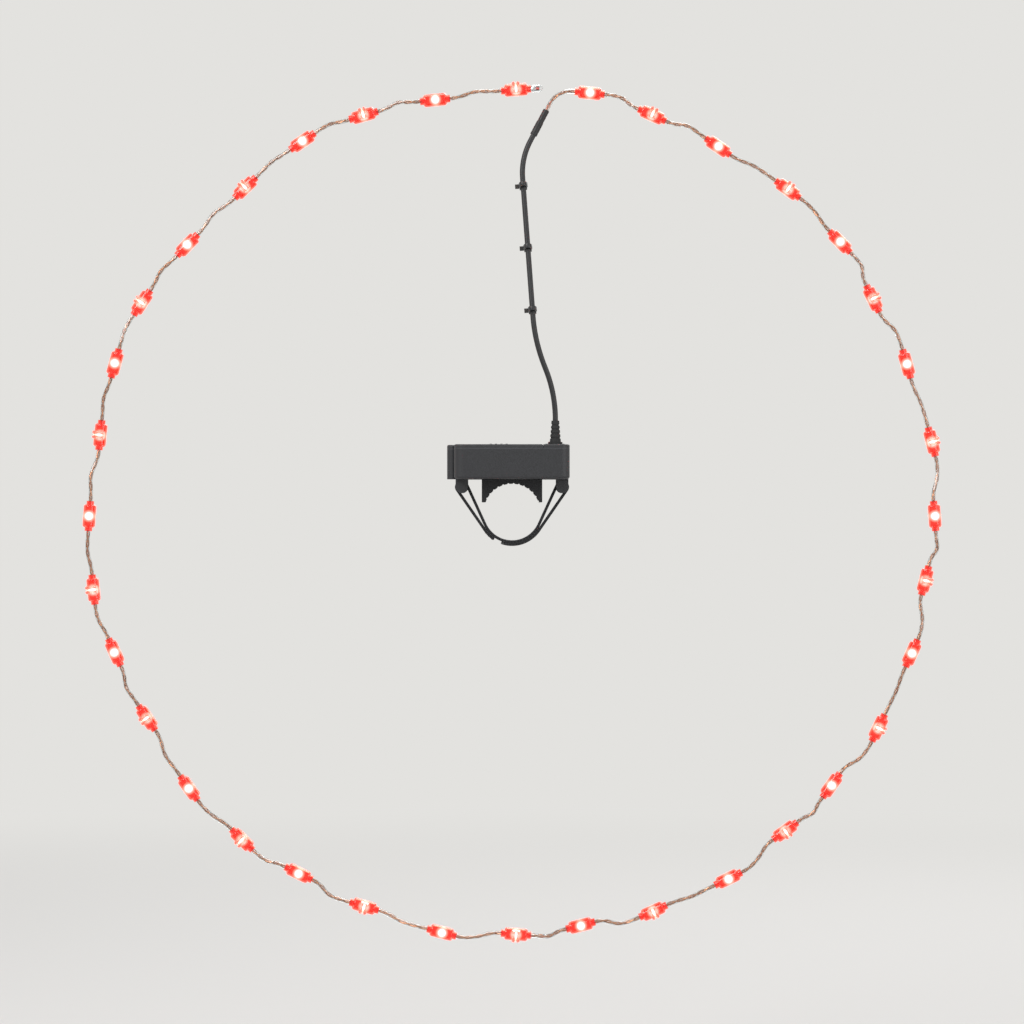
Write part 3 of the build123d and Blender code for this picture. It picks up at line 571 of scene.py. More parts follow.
# %% [markdown]
# ## The lead
#
# The lead is a round cable with a black PVC jacket, which is smooth and a little
# shiny. It comes out of the case's gland, lands on its spoke, runs straight
# beside it and leaves it for the first lamp. A bevelled curve makes it, as it
# made the string, with more sides because it is thicker.

# %% Lead
gland_low, gland_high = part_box("cable_gland")
lead_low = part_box("lead_cable")[0]
LEAD_X, LEAD_Y = (gland_low.x + gland_high.x) / 2 / MM, (gland_low.y + gland_high.y) / 2 / MM
lead_start = Vector((LEAD_X, LEAD_Y, lead_low.z / MM))
lead_turn = Vector((LEAD_X, LEAD_Y, gland_high.z / MM + LEAD_RISE))
lead_join = on_lead(lead_turn.z + LEAD_LANDING)
lead_bend = BEND_SHARE * (lead_join - lead_turn).length
leave_bend = LEAVE_R * math.tan(lead_way.angle(splice_way) / 2)

jacket = finish("pvc_jacket_black", "#17181a", Roughness=0.45, IOR=1.53)
grain(jacket, size=0.8, depth=0.02, tones=("#131416", "#1e1f22"), rough=(0.38, 0.55))
lead_curve = new_curve("lead_jacket", LEAD_R, sides=24, steps=16)
add_route(
    lead_curve, [lead_start, lead_turn, lead_join, lead_leave, splice], [lead_bend, lead_bend, leave_bend]
)
lead_curve.use_fill_caps = True
add_piece("lead_jacket", curve_mesh(lead_curve), jacket, "case", ["lead_cable"])
print("lead from", [round(c, 1) for c in lead_start], "to", [round(c, 1) for c in splice])

# %% [markdown]
# ## The sleeve over the splice
#
# Half way to the first lamp a sleeve was shrunk over the splice. It is wide over
# the lead and narrow over the string, and wrinkled where the heat drew it in. A
# ring of edges is extruded step by step, outside from the lead's end to the
# string's and back inside, which leaves a tube with a real wall.

# %% Shrunk sleeve
SLEEVE_LENGTH, SLEEVE_WALL, TAPER_START, TAPER_END = 16.0, 0.5, 0.42, 0.58
WRINKLE, WRINKLE_TURN, WRINKLE_BEAT = 0.06, 2.6, 0.9
SLEEVE_RINGS, SLEEVE_LIP = 49, 0.15
sleeve_skin = finish("heat_shrink_black", "#101113", Roughness=0.5, IOR=1.5, Sheen_Weight=0.1)
grain(sleeve_skin, size=1.2, depth=0.03, tones=("#0d0e10", "#17181a"), rough=(0.4, 0.6))


def sleeve_radius(place):
    """Radius of the sleeve at a place along it, from the lead's end to the string's."""
    wide, narrow = LEAD_R + SLEEVE_WALL, TUBE_R + SLEEVE_WALL
    blend = min(1, max(0, (place / SLEEVE_LENGTH - TAPER_START) / (TAPER_END - TAPER_START)))
    smooth = blend * blend * (3 - 2 * blend)
    wrinkle = WRINKLE * math.sin(WRINKLE_TURN * place) * math.sin(WRINKLE_BEAT * place)
    return wide + (narrow - wide) * smooth + wrinkle


bm = bmesh.new()
sleeve_step = SLEEVE_LENGTH / (SLEEVE_RINGS - 1)
bmesh.ops.create_circle(bm, segments=24, radius=LEAD_R)
edges = bm.edges[:]
profile = [(0, sleeve_radius(0) - SLEEVE_LIP)]
profile += [(sleeve_step * i, sleeve_radius(sleeve_step * i)) for i in range(SLEEVE_RINGS)]
profile += [(SLEEVE_LENGTH, TUBE_R), (TAPER_END * SLEEVE_LENGTH, TUBE_R)]
profile.append((TAPER_START * SLEEVE_LENGTH, LEAD_R))
mouth = edges
for place, radius in profile:
    ring, edges = grown(bm, edges)
    for vert in ring:
        flat = Vector((vert.co.x, vert.co.y, 0)).normalized() * radius
        vert.co = (flat.x, flat.y, place)
bmesh.ops.bridge_loops(bm, edges=mouth + edges)
foot = splice - splice_way * SLEEVE_LENGTH / 2
stand = splice_way.to_track_quat("Z", "Y").to_matrix().to_4x4()
bmesh.ops.transform(bm, verts=bm.verts, matrix=IN_METRES @ Matrix.Translation(foot) @ stand)
shrunk_sleeve = add_piece(
    "shrunk_sleeve", to_mesh("shrunk_sleeve", bm), sleeve_skin, "case", ["splice_sleeve"]
)
print("sleeve faces", len(shrunk_sleeve.data.polygons))

# %% [markdown]
# ## Cable ties
#
# Three small nylon ties bind the lead to its spoke. Each is a band that fits
# round both, a head with the slot that the band runs through, and the cut tail,
# with the teeth that the head's pawl holds. The band is a loop of edges, drawn
# round two circles, extruded to its width and given its thickness.

# %% Ties
TIE_WIDTH, TIE_THICK = 2.5, 1.0
HEAD = Vector((3.0, 4.6, 4.1))
TAIL_REACH, TAIL_THICK, TAIL_SUNK, TOOTH, TOOTH_DEPTH = 2.4, 0.8, 0.1, 0.6, 0.25
TIE_COUNT, TIE_CLEARANCE = 3, 4.0
LEAD_STEPS, SPOKE_STEPS = 14, 10
BAND_ROUND, HEAD_ROUND, SHARP = 0.18, 0.4, 1.2
SLOT_RIM, SLOT_DEPTH, FACE_DEPTH, FACING = 0.75, 0.5, 0.25, 0.9
nylon = finish("nylon_66_black", "#1a1b1d", Roughness=0.4, IOR=1.53, Subsurface_Weight=0.05)
grain(nylon, size=0.7, depth=0.02, tones=("#151618", "#222326"), rough=(0.34, 0.5))


def loop_round_pair(gap):
    """Points of a loop that lies at a gap round the spoke and the lead."""
    lean = math.degrees(math.acos((SPOKE_R - LEAD_R) / LEAD_OFFSET))
    lead_step, spoke_step = 2 * lean / LEAD_STEPS, (360 - 2 * lean) / SPOKE_STEPS
    turns = [(LEAD_OFFSET, LEAD_R + gap, i * lead_step - lean) for i in range(LEAD_STEPS + 1)]
    turns += [(0, SPOKE_R + gap, lean + i * spoke_step) for i in range(SPOKE_STEPS + 1)]
    return [
        Vector((x + r * math.cos(math.radians(a)), r * math.sin(math.radians(a)), 0))
        for x, r, a in turns
    ]


def tie_band(bm):
    """The band of a tie, as a closed strip with rounded edges."""
    verts = [bm.verts.new(point) for point in loop_round_pair(TIE_THICK)]
    edges = [bm.edges.new((a, b)) for a, b in zip(verts, verts[1:] + verts[:1])]
    moved, edges = grown(bm, edges)
    bmesh.ops.translate(bm, verts=moved, vec=(0, 0, TIE_WIDTH))
    bmesh.ops.translate(bm, verts=bm.verts, vec=(0, 0, -TIE_WIDTH / 2))
    bmesh.ops.recalc_face_normals(bm, faces=bm.faces)
    bmesh.ops.solidify(bm, geom=bm.faces[:], thickness=TIE_THICK)
    corners = [edge for edge in bm.edges if edge.is_manifold and edge.calc_face_angle() > SHARP]
    rounded(bm, corners, BAND_ROUND, 2)


def tie_head(bm):
    """The head: a rounded block whose upper and lower face have the band's slot."""
    block = bmesh.ops.create_cube(bm, size=1.0)["verts"]
    bmesh.ops.scale(bm, verts=block, vec=HEAD)
    middle = LEAD_OFFSET + LEAD_R + HEAD.x / 2
    bmesh.ops.translate(bm, verts=block, vec=(middle, 0, 0))
    faces = list(dict.fromkeys(face for vert in block for face in vert.link_faces))
    for face in [f for f in faces if abs(f.normal.y) > FACING or f.normal.x > FACING]:
        depth = SLOT_DEPTH if abs(face.normal.y) > FACING else FACE_DEPTH
        bmesh.ops.inset_individual(bm, faces=[face], thickness=SLOT_RIM)
        bmesh.ops.translate(bm, verts=face.verts[:], vec=face.normal * -depth)
    around = dict.fromkeys(edge for vert in block for edge in vert.link_edges)
    rims = [edge for edge in around if edge.is_manifold and edge.calc_face_angle() > SHARP]
    rounded(bm, rims, HEAD_ROUND, 3)


def extruded(bm, section, way):
    """Close the points of a section to a face and extrude it."""
    face = bm.faces.new([bm.verts.new(point) for point in section])
    made = bmesh.ops.extrude_face_region(bm, geom=[face])["geom"]
    moved = [part for part in made if isinstance(part, bmesh.types.BMVert)]
    bmesh.ops.translate(bm, verts=moved, vec=way)


def tie_tail(bm):
    """The cut tail, a short strip with saw teeth on one face."""
    teeth = int(TAIL_REACH / TOOTH)
    section = [(-TAIL_THICK / 2, teeth * TOOTH), (-TAIL_THICK / 2, 0)]
    for i in range(teeth):
        section += [(TAIL_THICK / 2, i * TOOTH), (TAIL_THICK / 2 - TOOTH_DEPTH, (i + 1) * TOOTH)]
    middle, start = LEAD_OFFSET + LEAD_R + HEAD.x / 2, HEAD.y / 2 - TAIL_SUNK
    outline = [(middle + x, start + y, -TIE_WIDTH / 2) for x, y in section]
    extruded(bm, outline, (0, 0, TIE_WIDTH))


first_tie = lead_join.z + lead_bend + TIE_CLEARANCE
last_tie = LEAVE_HEIGHT - leave_bend - TIE_CLEARANCE
over = lead_way.cross(inward)
tie = bmesh.new()
for shape in (tie_band, tie_head, tie_tail):
    shape(tie)
upright = Matrix((inward, over, lead_way)).transposed().to_4x4()
places = []
for i in range(TIE_COUNT):
    height = first_tie + (last_tie - first_tie) * i / (TIE_COUNT - 1)
    places.append(IN_METRES @ Matrix.Translation(on_spoke(height)) @ upright)
cable_ties = add_piece(
    "cable_ties", repeated("cable_ties", tie, places), nylon, "case", ["lead_ties"]
)
print("tie faces", len(cable_ties.data.polygons))

# %% [markdown]
# ## The strap
#
# The strap is a band of hook-and-loop webbing. One end is sewn round the left
# bar of the case, it passes under the hub and round the right bar, and its free
# end comes back and sticks to its own outside. A row of vertices follows that
# route and is extruded across the strap's width. Solidify gives it thickness.
# The UV map is in metres along and across the band, so that the weave's thread
# spacing is a real one and turns with the band.

# %% Strap route
HUB_R, STRAP_WIDTH, STRAP_THICK = 16.0, 25.0, 1.5
LAYER = 1.6
BAR_R, BAR_GAP, BAR_INSET, BAR_DROP, BAR_STEP = 2.0, 0.3, 4.0, 0.5, 12.0
BAR_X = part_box("case_deck")[1].x / MM - BAR_INSET
BAR_WRAP = BAR_R + BAR_GAP + LAYER / 2
BAR_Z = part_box("hub_pad")[1].z / MM - BAR_WRAP - LAYER / 2 - BAR_DROP
FLAP_WRAP, SEAM_WRAP = 75, 22
band_line, flap_line = HUB_R + LAYER / 2, HUB_R + LAYER * 1.5
bar_reach, bar_bearing = math.hypot(BAR_X, BAR_Z), math.degrees(math.atan2(BAR_Z, BAR_X))
band_leave = bar_bearing - math.degrees(math.acos((band_line + BAR_WRAP) / bar_reach))
flap_leave = bar_bearing - math.degrees(math.acos((flap_line - BAR_WRAP) / bar_reach))


def bow(middle, radius, start, sweep, step=4.0):
    """Points on an arc in the plane of the ring, in millimetres."""
    count = max(2, int(abs(sweep) / step))
    turns = [math.radians(start + sweep * i / count) for i in range(count + 1)]
    x, z = middle
    return [Vector((x + radius * math.cos(a), 0, z + radius * math.sin(a))) for a in turns]


def run(start, end, count=8):
    """Points between two places, without the places themselves."""
    return [start.lerp(end, i / count) for i in range(1, count)]


def strap_side(wrap):
    """The strap's middle line from below the hub round the right bar to an end."""
    hub = bow((0, 0), band_line, -90, 90 + band_leave)
    bar = bow((BAR_X, BAR_Z), BAR_WRAP, band_leave + 180, flap_leave - band_leave - 180, BAR_STEP)
    flap = bow((0, 0), flap_line, flap_leave, -wrap)
    return hub + run(hub[-1], bar[0]) + bar + run(bar[-1], flap[0]) + flap


flap_side = strap_side(FLAP_WRAP)
seam_side = [Vector((-p.x, 0, p.z)) for p in strap_side(SEAM_WRAP)]
strap_line = seam_side[::-1] + flap_side[1:]
strap_length = sum((b - a).length for a, b in zip(strap_line, strap_line[1:]))
print("strap length in mm", round(strap_length), "points", len(strap_line))

# %% [markdown]
# Webbing is woven: on each crossing either the warp thread lies on top, which
# runs along the band, or the weft thread, which runs across it. A checker picks
# between two sets of waves, and the same pattern gives the shade and the relief.
# Real threads are half as thick, too fine to show, so they are drawn at 0.9 mm.

# %% Webbing
THREAD, WEAVE_DEPTH = 0.9, 0.25
WAVE_REPEAT = math.pi / 10  # the wave texture repeats after this much at a scale of 1
webbing = finish("webbing_hook_and_loop", "#17181a", Roughness=0.9, Sheen_Weight=0.6, Sheen_Roughness=0.4)
tree = webbing.node_tree
coords = add_node(tree, "ShaderNodeTexCoord")
threads = {"Vector": coords.outputs["UV"], "Scale": WAVE_REPEAT / (THREAD * MM)}
warp = add_node(tree, "ShaderNodeTexWave", threads, bands_direction="Y")
weft = add_node(tree, "ShaderNodeTexWave", threads, bands_direction="X")
checks = add_node(
    tree, "ShaderNodeTexChecker", {"Vector": coords.outputs["UV"], "Scale": 1 / (THREAD * MM)}
)
woven = add_node(
    tree,
    "ShaderNodeMix",
    {0: checks.outputs["Fac"], 2: warp.outputs["Fac"], 3: weft.outputs["Fac"]},
    data_type="FLOAT",
)
shade = add_node(tree, "ShaderNodeValToRGB", {"Fac": woven}, stops=[(0.0, "#0b0c0d"), (1.0, "#2b2c30")])
relief = add_node(
    tree, "ShaderNodeBump", {"Height": woven, "Distance": WEAVE_DEPTH * MM, "Strength": 1.0}
)
tree.links.new(shade.outputs[0], tree.nodes["Principled BSDF"].inputs["Base Color"])
tree.links.new(relief.outputs[0], tree.nodes["Principled BSDF"].inputs["Normal"])

# %% Strap
WIDTH_STEPS, TIP_CORNER, STRAP_ROUND = 10, 4.0, 0.4
bm = bmesh.new()
from_seam = bm.verts.layers.float.new("from_seam")
verts = [bm.verts.new(point) for point in strap_line]
for here, there in zip(verts, verts[1:]):
    there[from_seam] = here[from_seam] + (there.co - here.co).length
edges = [bm.edges.new(pair) for pair in zip(verts, verts[1:])]
for i in range(WIDTH_STEPS):
    verts, edges = grown(bm, edges)
    bmesh.ops.translate(bm, verts=verts, vec=(0, STRAP_WIDTH / WIDTH_STEPS, 0))
bmesh.ops.translate(bm, verts=bm.verts, vec=(0, -STRAP_WIDTH / 2, 0))
for vert in bm.verts:
    from_tip = strap_length - vert[from_seam]
    if from_tip < TIP_CORNER:
        drawn_in = TIP_CORNER - math.sqrt(TIP_CORNER**2 - (TIP_CORNER - from_tip) ** 2)
        vert.co.y *= 1 - drawn_in / (STRAP_WIDTH / 2)
uv = bm.loops.layers.uv.new("UVMap")
for face in bm.faces:
    for loop in face.loops:
        loop[uv].uv = (loop.vert[from_seam] * MM, loop.vert.co.y * MM)
print("strap faces", len(bm.faces), "last point at", round(max(v[from_seam] for v in bm.verts), 1))
bmesh.ops.scale(bm, verts=bm.verts, vec=(MM, MM, MM))
strap = add_piece("strap", to_mesh("strap", bm), webbing, "case", ["hub_strap"])
thick = strap.modifiers.new("thickness", "SOLIDIFY")
thick.thickness = STRAP_THICK * MM
thick.offset = 0.0
soften(strap, STRAP_ROUND, 3)

# %% [markdown]
# Rows of short stitches in grey polyester thread hold the sewn end. One stitch
# is a small ball drawn out along the row, and it is repeated on the outside of
# the band, turned with it.

# %% Stitches at the sewn end
STITCH = (0.3, 1.15, 0.24)
STITCH_PITCH, STITCH_MARGIN, STITCH_ROWS = 3.0, 3.5, 3
thread = grain(
    finish("polyester_thread_grey", "#4a4c50", Roughness=0.7, Sheen_Weight=0.3),
    size=0.4, depth=0.03, tones=("#3c3e42", "#5a5c61"),
)
stitch = bmesh.new()
bmesh.ops.create_uvsphere(
    stitch, u_segments=10, v_segments=6, radius=1.0, matrix=Matrix.Diagonal((*STITCH, 1))
)
across = STRAP_WIDTH / 2 - STITCH_MARGIN
places = []
for row in range(STITCH_ROWS):
    angle = 180 - flap_leave + SEAM_WRAP * (row + 0.5) / STITCH_ROWS
    turned = Matrix.Rotation(math.radians(90 - angle), 4, "Y")
    lifted = Matrix.Translation((0, 0, flap_line + STRAP_THICK / 2))
    for i in range(int(2 * across / STITCH_PITCH) + 1):
        beside = Matrix.Translation((0, i * STITCH_PITCH - across, 0))
        places.append(IN_METRES @ beside @ turned @ lifted)
add_piece("strap_stitches", repeated("strap_stitches", stitch, places), thread, "case")
print("stitches", len(places))

# %% [markdown]
# ## The hub pad
#
# A moulded rubber pad keeps the case off the hub. Its saddle has small grooves
# along the hub, which grip. Its section is drawn once and extruded. Rubber is
# dull and deep black, and shows the fine roughness of its mould.

# %% Hub pad
PAD_ANGLE, PAD_LIP = 70, 2.0
GROOVES, PAD_ROUND = 13, 0.3
GROOVE = ((0.0, 0.0), (0.3, 0.0), (0.62, 0.0), (0.7, 0.45), (0.92, 0.45))  # share of pitch, depth
rubber = finish("rubber_moulded_black", "#1c1d1f", Roughness=0.75, IOR=1.52)
grain(rubber, size=0.5, depth=0.03, tones=("#17181a", "#242527"), rough=(0.65, 0.85))
pad_low, pad_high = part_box("hub_pad")
edge_x = HUB_R * math.sin(math.radians(PAD_ANGLE))
edge_z = HUB_R * math.cos(math.radians(PAD_ANGLE))
top_z = pad_high.z / MM
side_x = edge_x + PAD_LIP
section = [(side_x, edge_z), (side_x, top_z), (-side_x, top_z), (-side_x, edge_z)]
pitch = 2 * PAD_ANGLE / GROOVES
for i in range(GROOVES):
    start = 90 + PAD_ANGLE - i * pitch
    for share, depth in GROOVE:
        angle = math.radians(start - share * pitch)
        section.append(((HUB_R + depth) * math.cos(angle), (HUB_R + depth) * math.sin(angle)))
section.append((edge_x, edge_z))
bm = bmesh.new()
extruded(bm, [(x, pad_low.y / MM, z) for x, z in section], (0, (pad_high.y - pad_low.y) / MM, 0))
bmesh.ops.scale(bm, verts=bm.verts, vec=(MM, MM, MM))
pad = add_piece("pad_moulded", to_mesh("pad_moulded", bm), rubber, "case", ["hub_pad"])
soften(pad, PAD_ROUND, 2)
print("pad section points", len(section))

# %% [markdown]
# ## The cells
#
# With the door lifted three cells show. A cell is a steel can in a shrunk sleeve
# of printed PVC that rolls over its rims, with a flat end and a nub. Its profile
# is spun once round the cell's axis. Faces get their finish by where they are.

# %% Cells


def spun(bm, geom, angle, steps, closed):
    """Spin a profile about the Z axis."""
    bmesh.ops.spin(
        bm, geom=geom, cent=(0, 0, 0), axis=(0, 0, 1), dvec=(0, 0, 0), angle=angle, steps=steps,
        use_merge=closed, use_duplicate=False
    )


CELL_LENGTH, NUB_R, NUB_LENGTH = 50.5, 2.6, 1.0
CELL_COUNT, BAND_LENGTH, ROLL_R, CELL_SIDES, MERGED = 3, 13.0, 4.9, 36, 0.01
cells_low, cells_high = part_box("cells")
CELL_R = (cells_high.z - cells_low.z) / MM / 2
cell_pitch = ((cells_high.x - cells_low.x) / MM - 2 * CELL_R) / (CELL_COUNT - 1)
shoulder = CELL_LENGTH - NUB_LENGTH
cell_profile = [
    (0, 0.3), (ROLL_R, 0.3), (ROLL_R + 0.1, 0.1), (CELL_R - 0.9, 0), (CELL_R - 0.25, 0.25),
    (CELL_R, 0.9), (CELL_R, shoulder - BAND_LENGTH), (CELL_R, shoulder - 0.9),
    (CELL_R - 0.25, shoulder - 0.25), (CELL_R - 0.9, shoulder), (ROLL_R - 0.2, shoulder - 0.1),
    (ROLL_R - 0.3, shoulder - 0.4), (NUB_R + 0.3, shoulder - 0.4), (NUB_R, shoulder - 0.1),
    (NUB_R, CELL_LENGTH - 0.4), (NUB_R - 0.4, CELL_LENGTH), (0, CELL_LENGTH),
]
cell_wrap = grain(
    finish("pvc_wrap_blue_grey", "#3c4d63", Roughness=0.3, IOR=1.53),
    size=9.0, depth=0.01, tones=("#3a4b62", "#3f5068"), rough=(0.26, 0.32), detail=1.0,
)
cell_band = grain(
    finish("pvc_wrap_silver", "#b9bdc2", Roughness=0.3, IOR=1.53),
    size=9.0, depth=0.01, tones=("#b5b9be", "#bdc1c5"), rough=(0.26, 0.32), detail=1.0,
)
cell_steel = grain(
    finish("steel_nickel_plated", "#cfcbc3", Metallic=1.0, Roughness=0.28),
    size=0.8, depth=0.002, tones=("#c8c4bc", "#d6d2ca"), rough=(0.24, 0.32),
)
cell = bmesh.new()
verts = [cell.verts.new((radius, 0, height)) for radius, height in cell_profile]
edges = [cell.edges.new(pair) for pair in zip(verts, verts[1:])]
spun(cell, verts + edges, 2 * math.pi, CELL_SIDES, closed=True)
bmesh.ops.remove_doubles(cell, verts=cell.verts, dist=MERGED)
for face in cell.faces:
    middle = face.calc_center_median()
    if math.hypot(middle.x, middle.y) < ROLL_R - 0.2:
        face.material_index = 2
    elif middle.z > shoulder - BAND_LENGTH:
        face.material_index = 1
places = []
for i in range(CELL_COUNT):
    way = 1 if i % 2 else -1
    foot = (
        cells_low.x / MM + CELL_R + i * cell_pitch,
        way * (cells_high.y / MM - CELL_LENGTH),
        (cells_low.z + cells_high.z) / MM / 2,
    )
    lying = Matrix.Rotation(-way * math.pi / 2, 4, "X")
    places.append(IN_METRES @ Matrix.Translation(foot) @ lying)
wrapped_cells = add_piece(
    "wrapped_cells", repeated("wrapped_cells", cell, places), cell_wrap, "case", ["cells"]
)
for material in (cell_band, cell_steel):
    wrapped_cells.data.materials.append(material)
print("cells", len(places), "radius", round(CELL_R, 2), "pitch", round(cell_pitch, 2))

# %% [markdown]
# ## The mark on the button
#
# The usual sign for power, a ring with a bar in its gap, is printed thick on the
# button. A small circle is spun round for the ring, and a short rod is the bar.

# %% Button mark
MARK_R, MARK_LINE, MARK_GAP, MARK_STEPS, BAR_PLACE = 1.7, 0.2, 70, 24, 0.75
print_white = grain(
    finish("silicone_ink_white", "#e9e7e4", Roughness=0.5, IOR=1.41),
    size=0.5, depth=0.01, tones=("#e0deda", "#f1efec"),
)
button_low, button_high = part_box("power_button")
bm = bmesh.new()
upright = Matrix.Rotation(math.pi / 2, 4, "X")
ring = bmesh.ops.create_circle(
    bm, segments=10, radius=MARK_LINE, matrix=Matrix.Translation((MARK_R, 0, 0)) @ upright
)["verts"]
ring_edges = bm.edges[:]
bmesh.ops.rotate(
    bm, verts=ring, cent=(0, 0, 0), matrix=Matrix.Rotation(math.radians(90 + MARK_GAP / 2), 3, "Z")
)
spun(bm, ring + ring_edges, math.radians(360 - MARK_GAP), MARK_STEPS, closed=False)
bmesh.ops.holes_fill(bm, edges=[edge for edge in bm.edges if edge.is_boundary])
bar_place = Matrix.Translation((0, MARK_R * BAR_PLACE, 0)) @ upright
bmesh.ops.create_cone(
    bm, cap_ends=True, segments=10, radius1=MARK_LINE, radius2=MARK_LINE, depth=MARK_R, matrix=bar_place
)
button_middle = (button_low + button_high) / 2 / MM
on_top = Matrix.Translation((button_middle.x, button_middle.y, button_high.z / MM))
bmesh.ops.transform(bm, verts=bm.verts, matrix=IN_METRES @ on_top)
add_piece("button_mark", to_mesh("button_mark", bm), print_white, "button")
print("mark at", [round(c, 1) for c in button_middle])

# %% [markdown]
# ## Finishes of the hard parts
#
# The case is moulded in black ABS with the fine spark texture that hides finger
# marks. Its real grain is about 0.2 mm, too fine to show in the picture, so it
# is drawn at 0.45 mm. Hands polish its edges, which a Bevel node finds: where
# the rounded normal leaves the flat one, there is an edge. The screws and
# contacts are plated steel, bright and even. The button and the seal are
# silicone, matt, and a little light goes into it. The boards' solder mask is as
# glossy as paint, the moulded epoxy of the chip is dull, and so is the rubber.

# %% Worn edges
FLAT_MATCH, EDGE_MATCH, RUBBED = 0.99, 0.85, 0.7


def worn_edges(made, reach, tone):
    """Lighten a finish along its edges, where hands and straps rub it."""
    tree = made.node_tree
    shader = tree.nodes["Principled BSDF"]
    under = shader.inputs["Base Color"].links[0].from_socket
    softened = add_node(tree, "ShaderNodeBevel", {"Radius": reach * MM}, samples=4)
    flat = add_node(tree, "ShaderNodeNewGeometry")
    meet = add_node(
        tree, "ShaderNodeVectorMath", [softened, flat.outputs["Normal"]], operation="DOT_PRODUCT"
    )
    rubbed = add_node(
        tree,
        "ShaderNodeMapRange",
        {"Value": meet.outputs["Value"], "From Min": FLAT_MATCH, "From Max": EDGE_MATCH, "To Max": RUBBED},
    )
    mixed = add_node(tree, "ShaderNodeMix", {0: rubbed, 6: under, 7: srgb(tone)}, data_type="RGBA")
    tree.links.new(mixed.outputs[2], shader.inputs["Base Color"])


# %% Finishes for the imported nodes
case_abs = grain(
    finish("abs_spark_textured", "#202124", Roughness=0.5, IOR=1.54),
    size=0.45, depth=0.07, tones=("#1b1c1f", "#2a2b2f"), rough=(0.42, 0.6),
)
door_abs = grain(
    finish("abs_door_textured", "#242528", Roughness=0.5, IOR=1.54),
    size=0.45, depth=0.07, tones=("#1f2023", "#2e2f33"), rough=(0.4, 0.58),
)
seal = grain(
    finish("silicone_grey", "#8d9092", Roughness=0.6, IOR=1.41, Subsurface_Weight=0.1),
    size=0.9, depth=0.02, tones=("#84878a", "#989b9d"),
)
screw = grain(
    finish("steel_zinc_plated", "#c9cbce", Metallic=1.0, Roughness=0.28),
    size=0.3, depth=0.006, tones=("#b4b7bb", "#d8dadd"), rough=(0.2, 0.38),
)
button = grain(
    finish("silicone_red", "#b3150f", Roughness=0.5, IOR=1.41, Subsurface_Weight=0.15),
    size=0.6, depth=0.015, tones=("#a8120c", "#c01c14"), rough=(0.42, 0.6),
)
gland = grain(
    finish("rubber_soft_black", "#1a1b1c", Roughness=0.7, IOR=1.52),
    size=0.5, depth=0.02, tones=("#151617", "#222324"), rough=(0.6, 0.8),
)
nickel = grain(
    finish("nickel_plated_sheet", "#d2cdc2", Metallic=1.0, Roughness=0.25),
    size=0.8, depth=0.006, tones=("#c2bdb2", "#ddd9cf"), rough=(0.18, 0.35),
)
board_white = grain(
    finish("solder_mask_white", "#f0efe9", Roughness=0.4, IOR=1.5),
    size=1.0, depth=0.01, tones=("#e8e6df", "#f6f5f0"),
)
board_green = grain(
    finish("solder_mask_green", "#1d6a3a", Roughness=0.35, IOR=1.5),
    size=1.2, depth=0.015, tones=("#195f33", "#237845"), rough=(0.28, 0.42),
)
epoxy = grain(
    finish("epoxy_moulded_black", "#18181a", Roughness=0.6, IOR=1.54),
    size=0.3, depth=0.01, tones=("#141416", "#1f1f22"),
)
cap_clear = finish("cap_clear_moulded", "#eef1f2", Roughness=0.12, IOR=1.53, Transmission_Weight=1.0)
grain(cap_clear, size=1.5, depth=0.01)
chip_lit = finish(
    "chip_resin_lit", "#fff1ea", Roughness=0.3, Emission_Color=srgb("#fff4fb"), Emission_Strength=4.0
)
grain(chip_lit, size=0.8, depth=0.01)

for plastic in (case_abs, door_abs):
    worn_edges(plastic, reach=0.7, tone="#4b4d52")

finishes = {
    "led_boards": board_white, "led_chips": chip_lit, "string_end_cap": cap_clear,
    "case_tray": case_abs, "case_deck": case_abs, "battery_door": door_abs, "door_seal": seal,
    "door_screw_left": screw, "door_screw_right": screw,
    "contact_plates": nickel, "contact_springs": nickel, "circuit_board": board_green,
    "controller_chip": epoxy, "switch_body": epoxy, "power_button": button, "cable_gland": gland,
}
finishes |= {name: capsule for name in nodes if name.startswith("led_lens_")}
for name, material in finishes.items():
    nodes[name].data.materials.clear()
    nodes[name].data.materials.append(material)
print("finished nodes", len(finishes))

# %% [markdown]
# ## The floor
#
# The ring stands 335 mm above a floor of pale paper. It has to look the same
# from every side, so there is no backdrop: far from the object the floor fades
# to the even tone of the world behind it, and near the object it is lit paper
# that takes the shadow. Only what the camera sees, straight or in gloss and
# clear plastic, has that tone. The light on the object comes from soft lamps.

# %% Floor
FLOOR_Z, FLOOR_R, FADE_START, FADE_END = -0.335, 14.0, 0.8, 2.4
PAPER_TONE = "#e3e2df"


def seen_rays(tree):
    """A factor that is 1 for what the camera sees, also in gloss and clear plastic."""
    rays = add_node(tree, "ShaderNodeLightPath").outputs
    seen = rays["Is Camera Ray"]
    for kind in ("Is Glossy Ray", "Is Transmission Ray"):
        seen = add_node(tree, "ShaderNodeMath", [seen, rays[kind]], operation="MAXIMUM")
    return seen


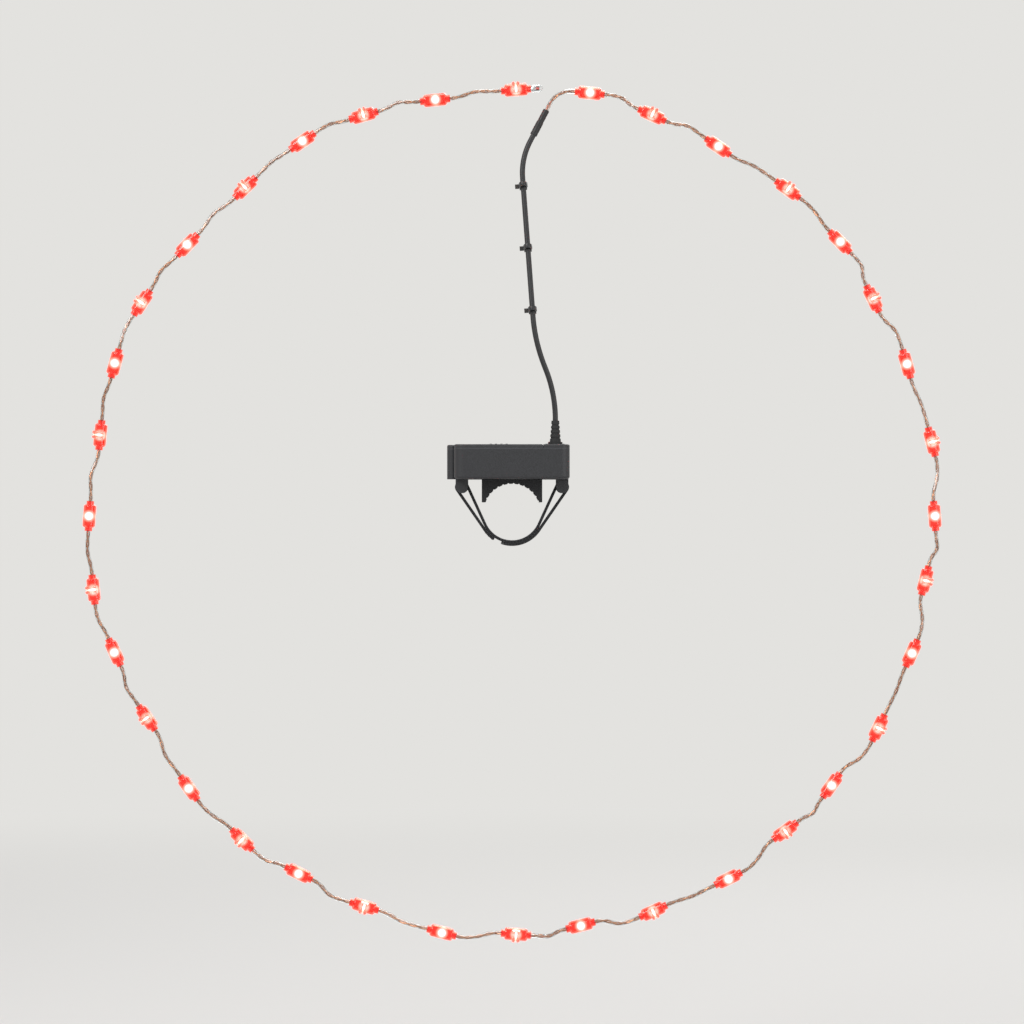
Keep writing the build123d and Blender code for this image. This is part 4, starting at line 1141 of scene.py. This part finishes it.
paper = finish("paper_pale", "#d0cecb", Roughness=0.95)
grain(paper, size=2.0, depth=0.02)
tree = paper.node_tree
coords = add_node(tree, "ShaderNodeTexCoord")
distance = add_node(tree, "ShaderNodeVectorMath", [coords.outputs["Object"]], operation="LENGTH")
faded = add_node(
    tree,
    "ShaderNodeMapRange",
    {"Value": distance.outputs["Value"], "From Min": FADE_START, "From Max": FADE_END},
    interpolation_type="SMOOTHSTEP",
)
tone = add_node(tree, "ShaderNodeEmission", {"Color": srgb(PAPER_TONE), "Strength": seen_rays(tree)})
mixed = add_node(tree, "ShaderNodeMixShader", [faded, tree.nodes["Principled BSDF"].outputs[0], tone])
tree.links.new(mixed.outputs[0], tree.nodes["Material Output"].inputs["Surface"])
bm = bmesh.new()
floor_place = Matrix.Translation((0, 0, FLOOR_Z))
bmesh.ops.create_circle(bm, cap_ends=True, segments=64, radius=FLOOR_R, matrix=floor_place)
mesh = to_mesh("paper_floor", bm)
mesh.materials.append(paper)
placed("paper_floor", mesh)

# %% [markdown]
# ## The light
#
# Four area lamps light the object softly: a key from the upper left in front, a
# weaker fill from the right, one from behind that draws the edges, and one from
# above. The world adds a little even light from all round.

# %% World and lamps
world = bpy.data.worlds.new("studio")
bpy.context.scene.world = world
world.use_nodes = True
tree = world.node_tree
sky = tree.nodes["Background"]
sky.inputs["Color"].default_value = srgb("#f2f4f7")
sky.inputs["Strength"].default_value = 0.55
behind = add_node(tree, "ShaderNodeBackground", {"Color": srgb(PAPER_TONE), "Strength": 1.0})
mixed = add_node(tree, "ShaderNodeMixShader", [seen_rays(tree), sky, behind])
tree.links.new(mixed.outputs[0], tree.nodes["World Output"].inputs["Surface"])
for name, place, size, energy in (
    ("key", (-1.3, -1.6, 1.5), 1.4, 34),
    ("fill", (1.7, -1.5, 0.4), 1.6, 14),
    ("back", (0.6, 1.8, 1.2), 1.4, 18),
    ("top", (0.2, 0.3, 1.9), 1.2, 12),
):
    lamp = bpy.data.lights.new(name, "AREA")
    lamp.size = size
    lamp.energy = energy
    holder = placed(name, lamp)
    holder.location = place
    holder.rotation_euler = (-Vector(place)).to_track_quat("-Z", "Y").to_euler()

# %% [markdown]
# ## The camera
#
# The photograph looks straight at the ring from its side. The camera stands so
# far away that near and far lamps look alike in size, and its lens is as long as
# it takes to make the picture 0.58 m wide at the ring.

# %% Camera
DISTANCE, FRAME_WIDTH, SENSOR = 2.4, 0.58, 36.0
lens = bpy.data.cameras.new("camera")
lens.sensor_width = SENSOR
lens.lens = SENSOR * DISTANCE / FRAME_WIDTH
camera = placed("camera", lens)
camera.location = (0, -DISTANCE, 0)
camera.rotation_euler = (math.pi / 2, 0, 0)
bpy.context.scene.camera = camera
bpy.context.scene.view_settings.view_transform = "Standard"
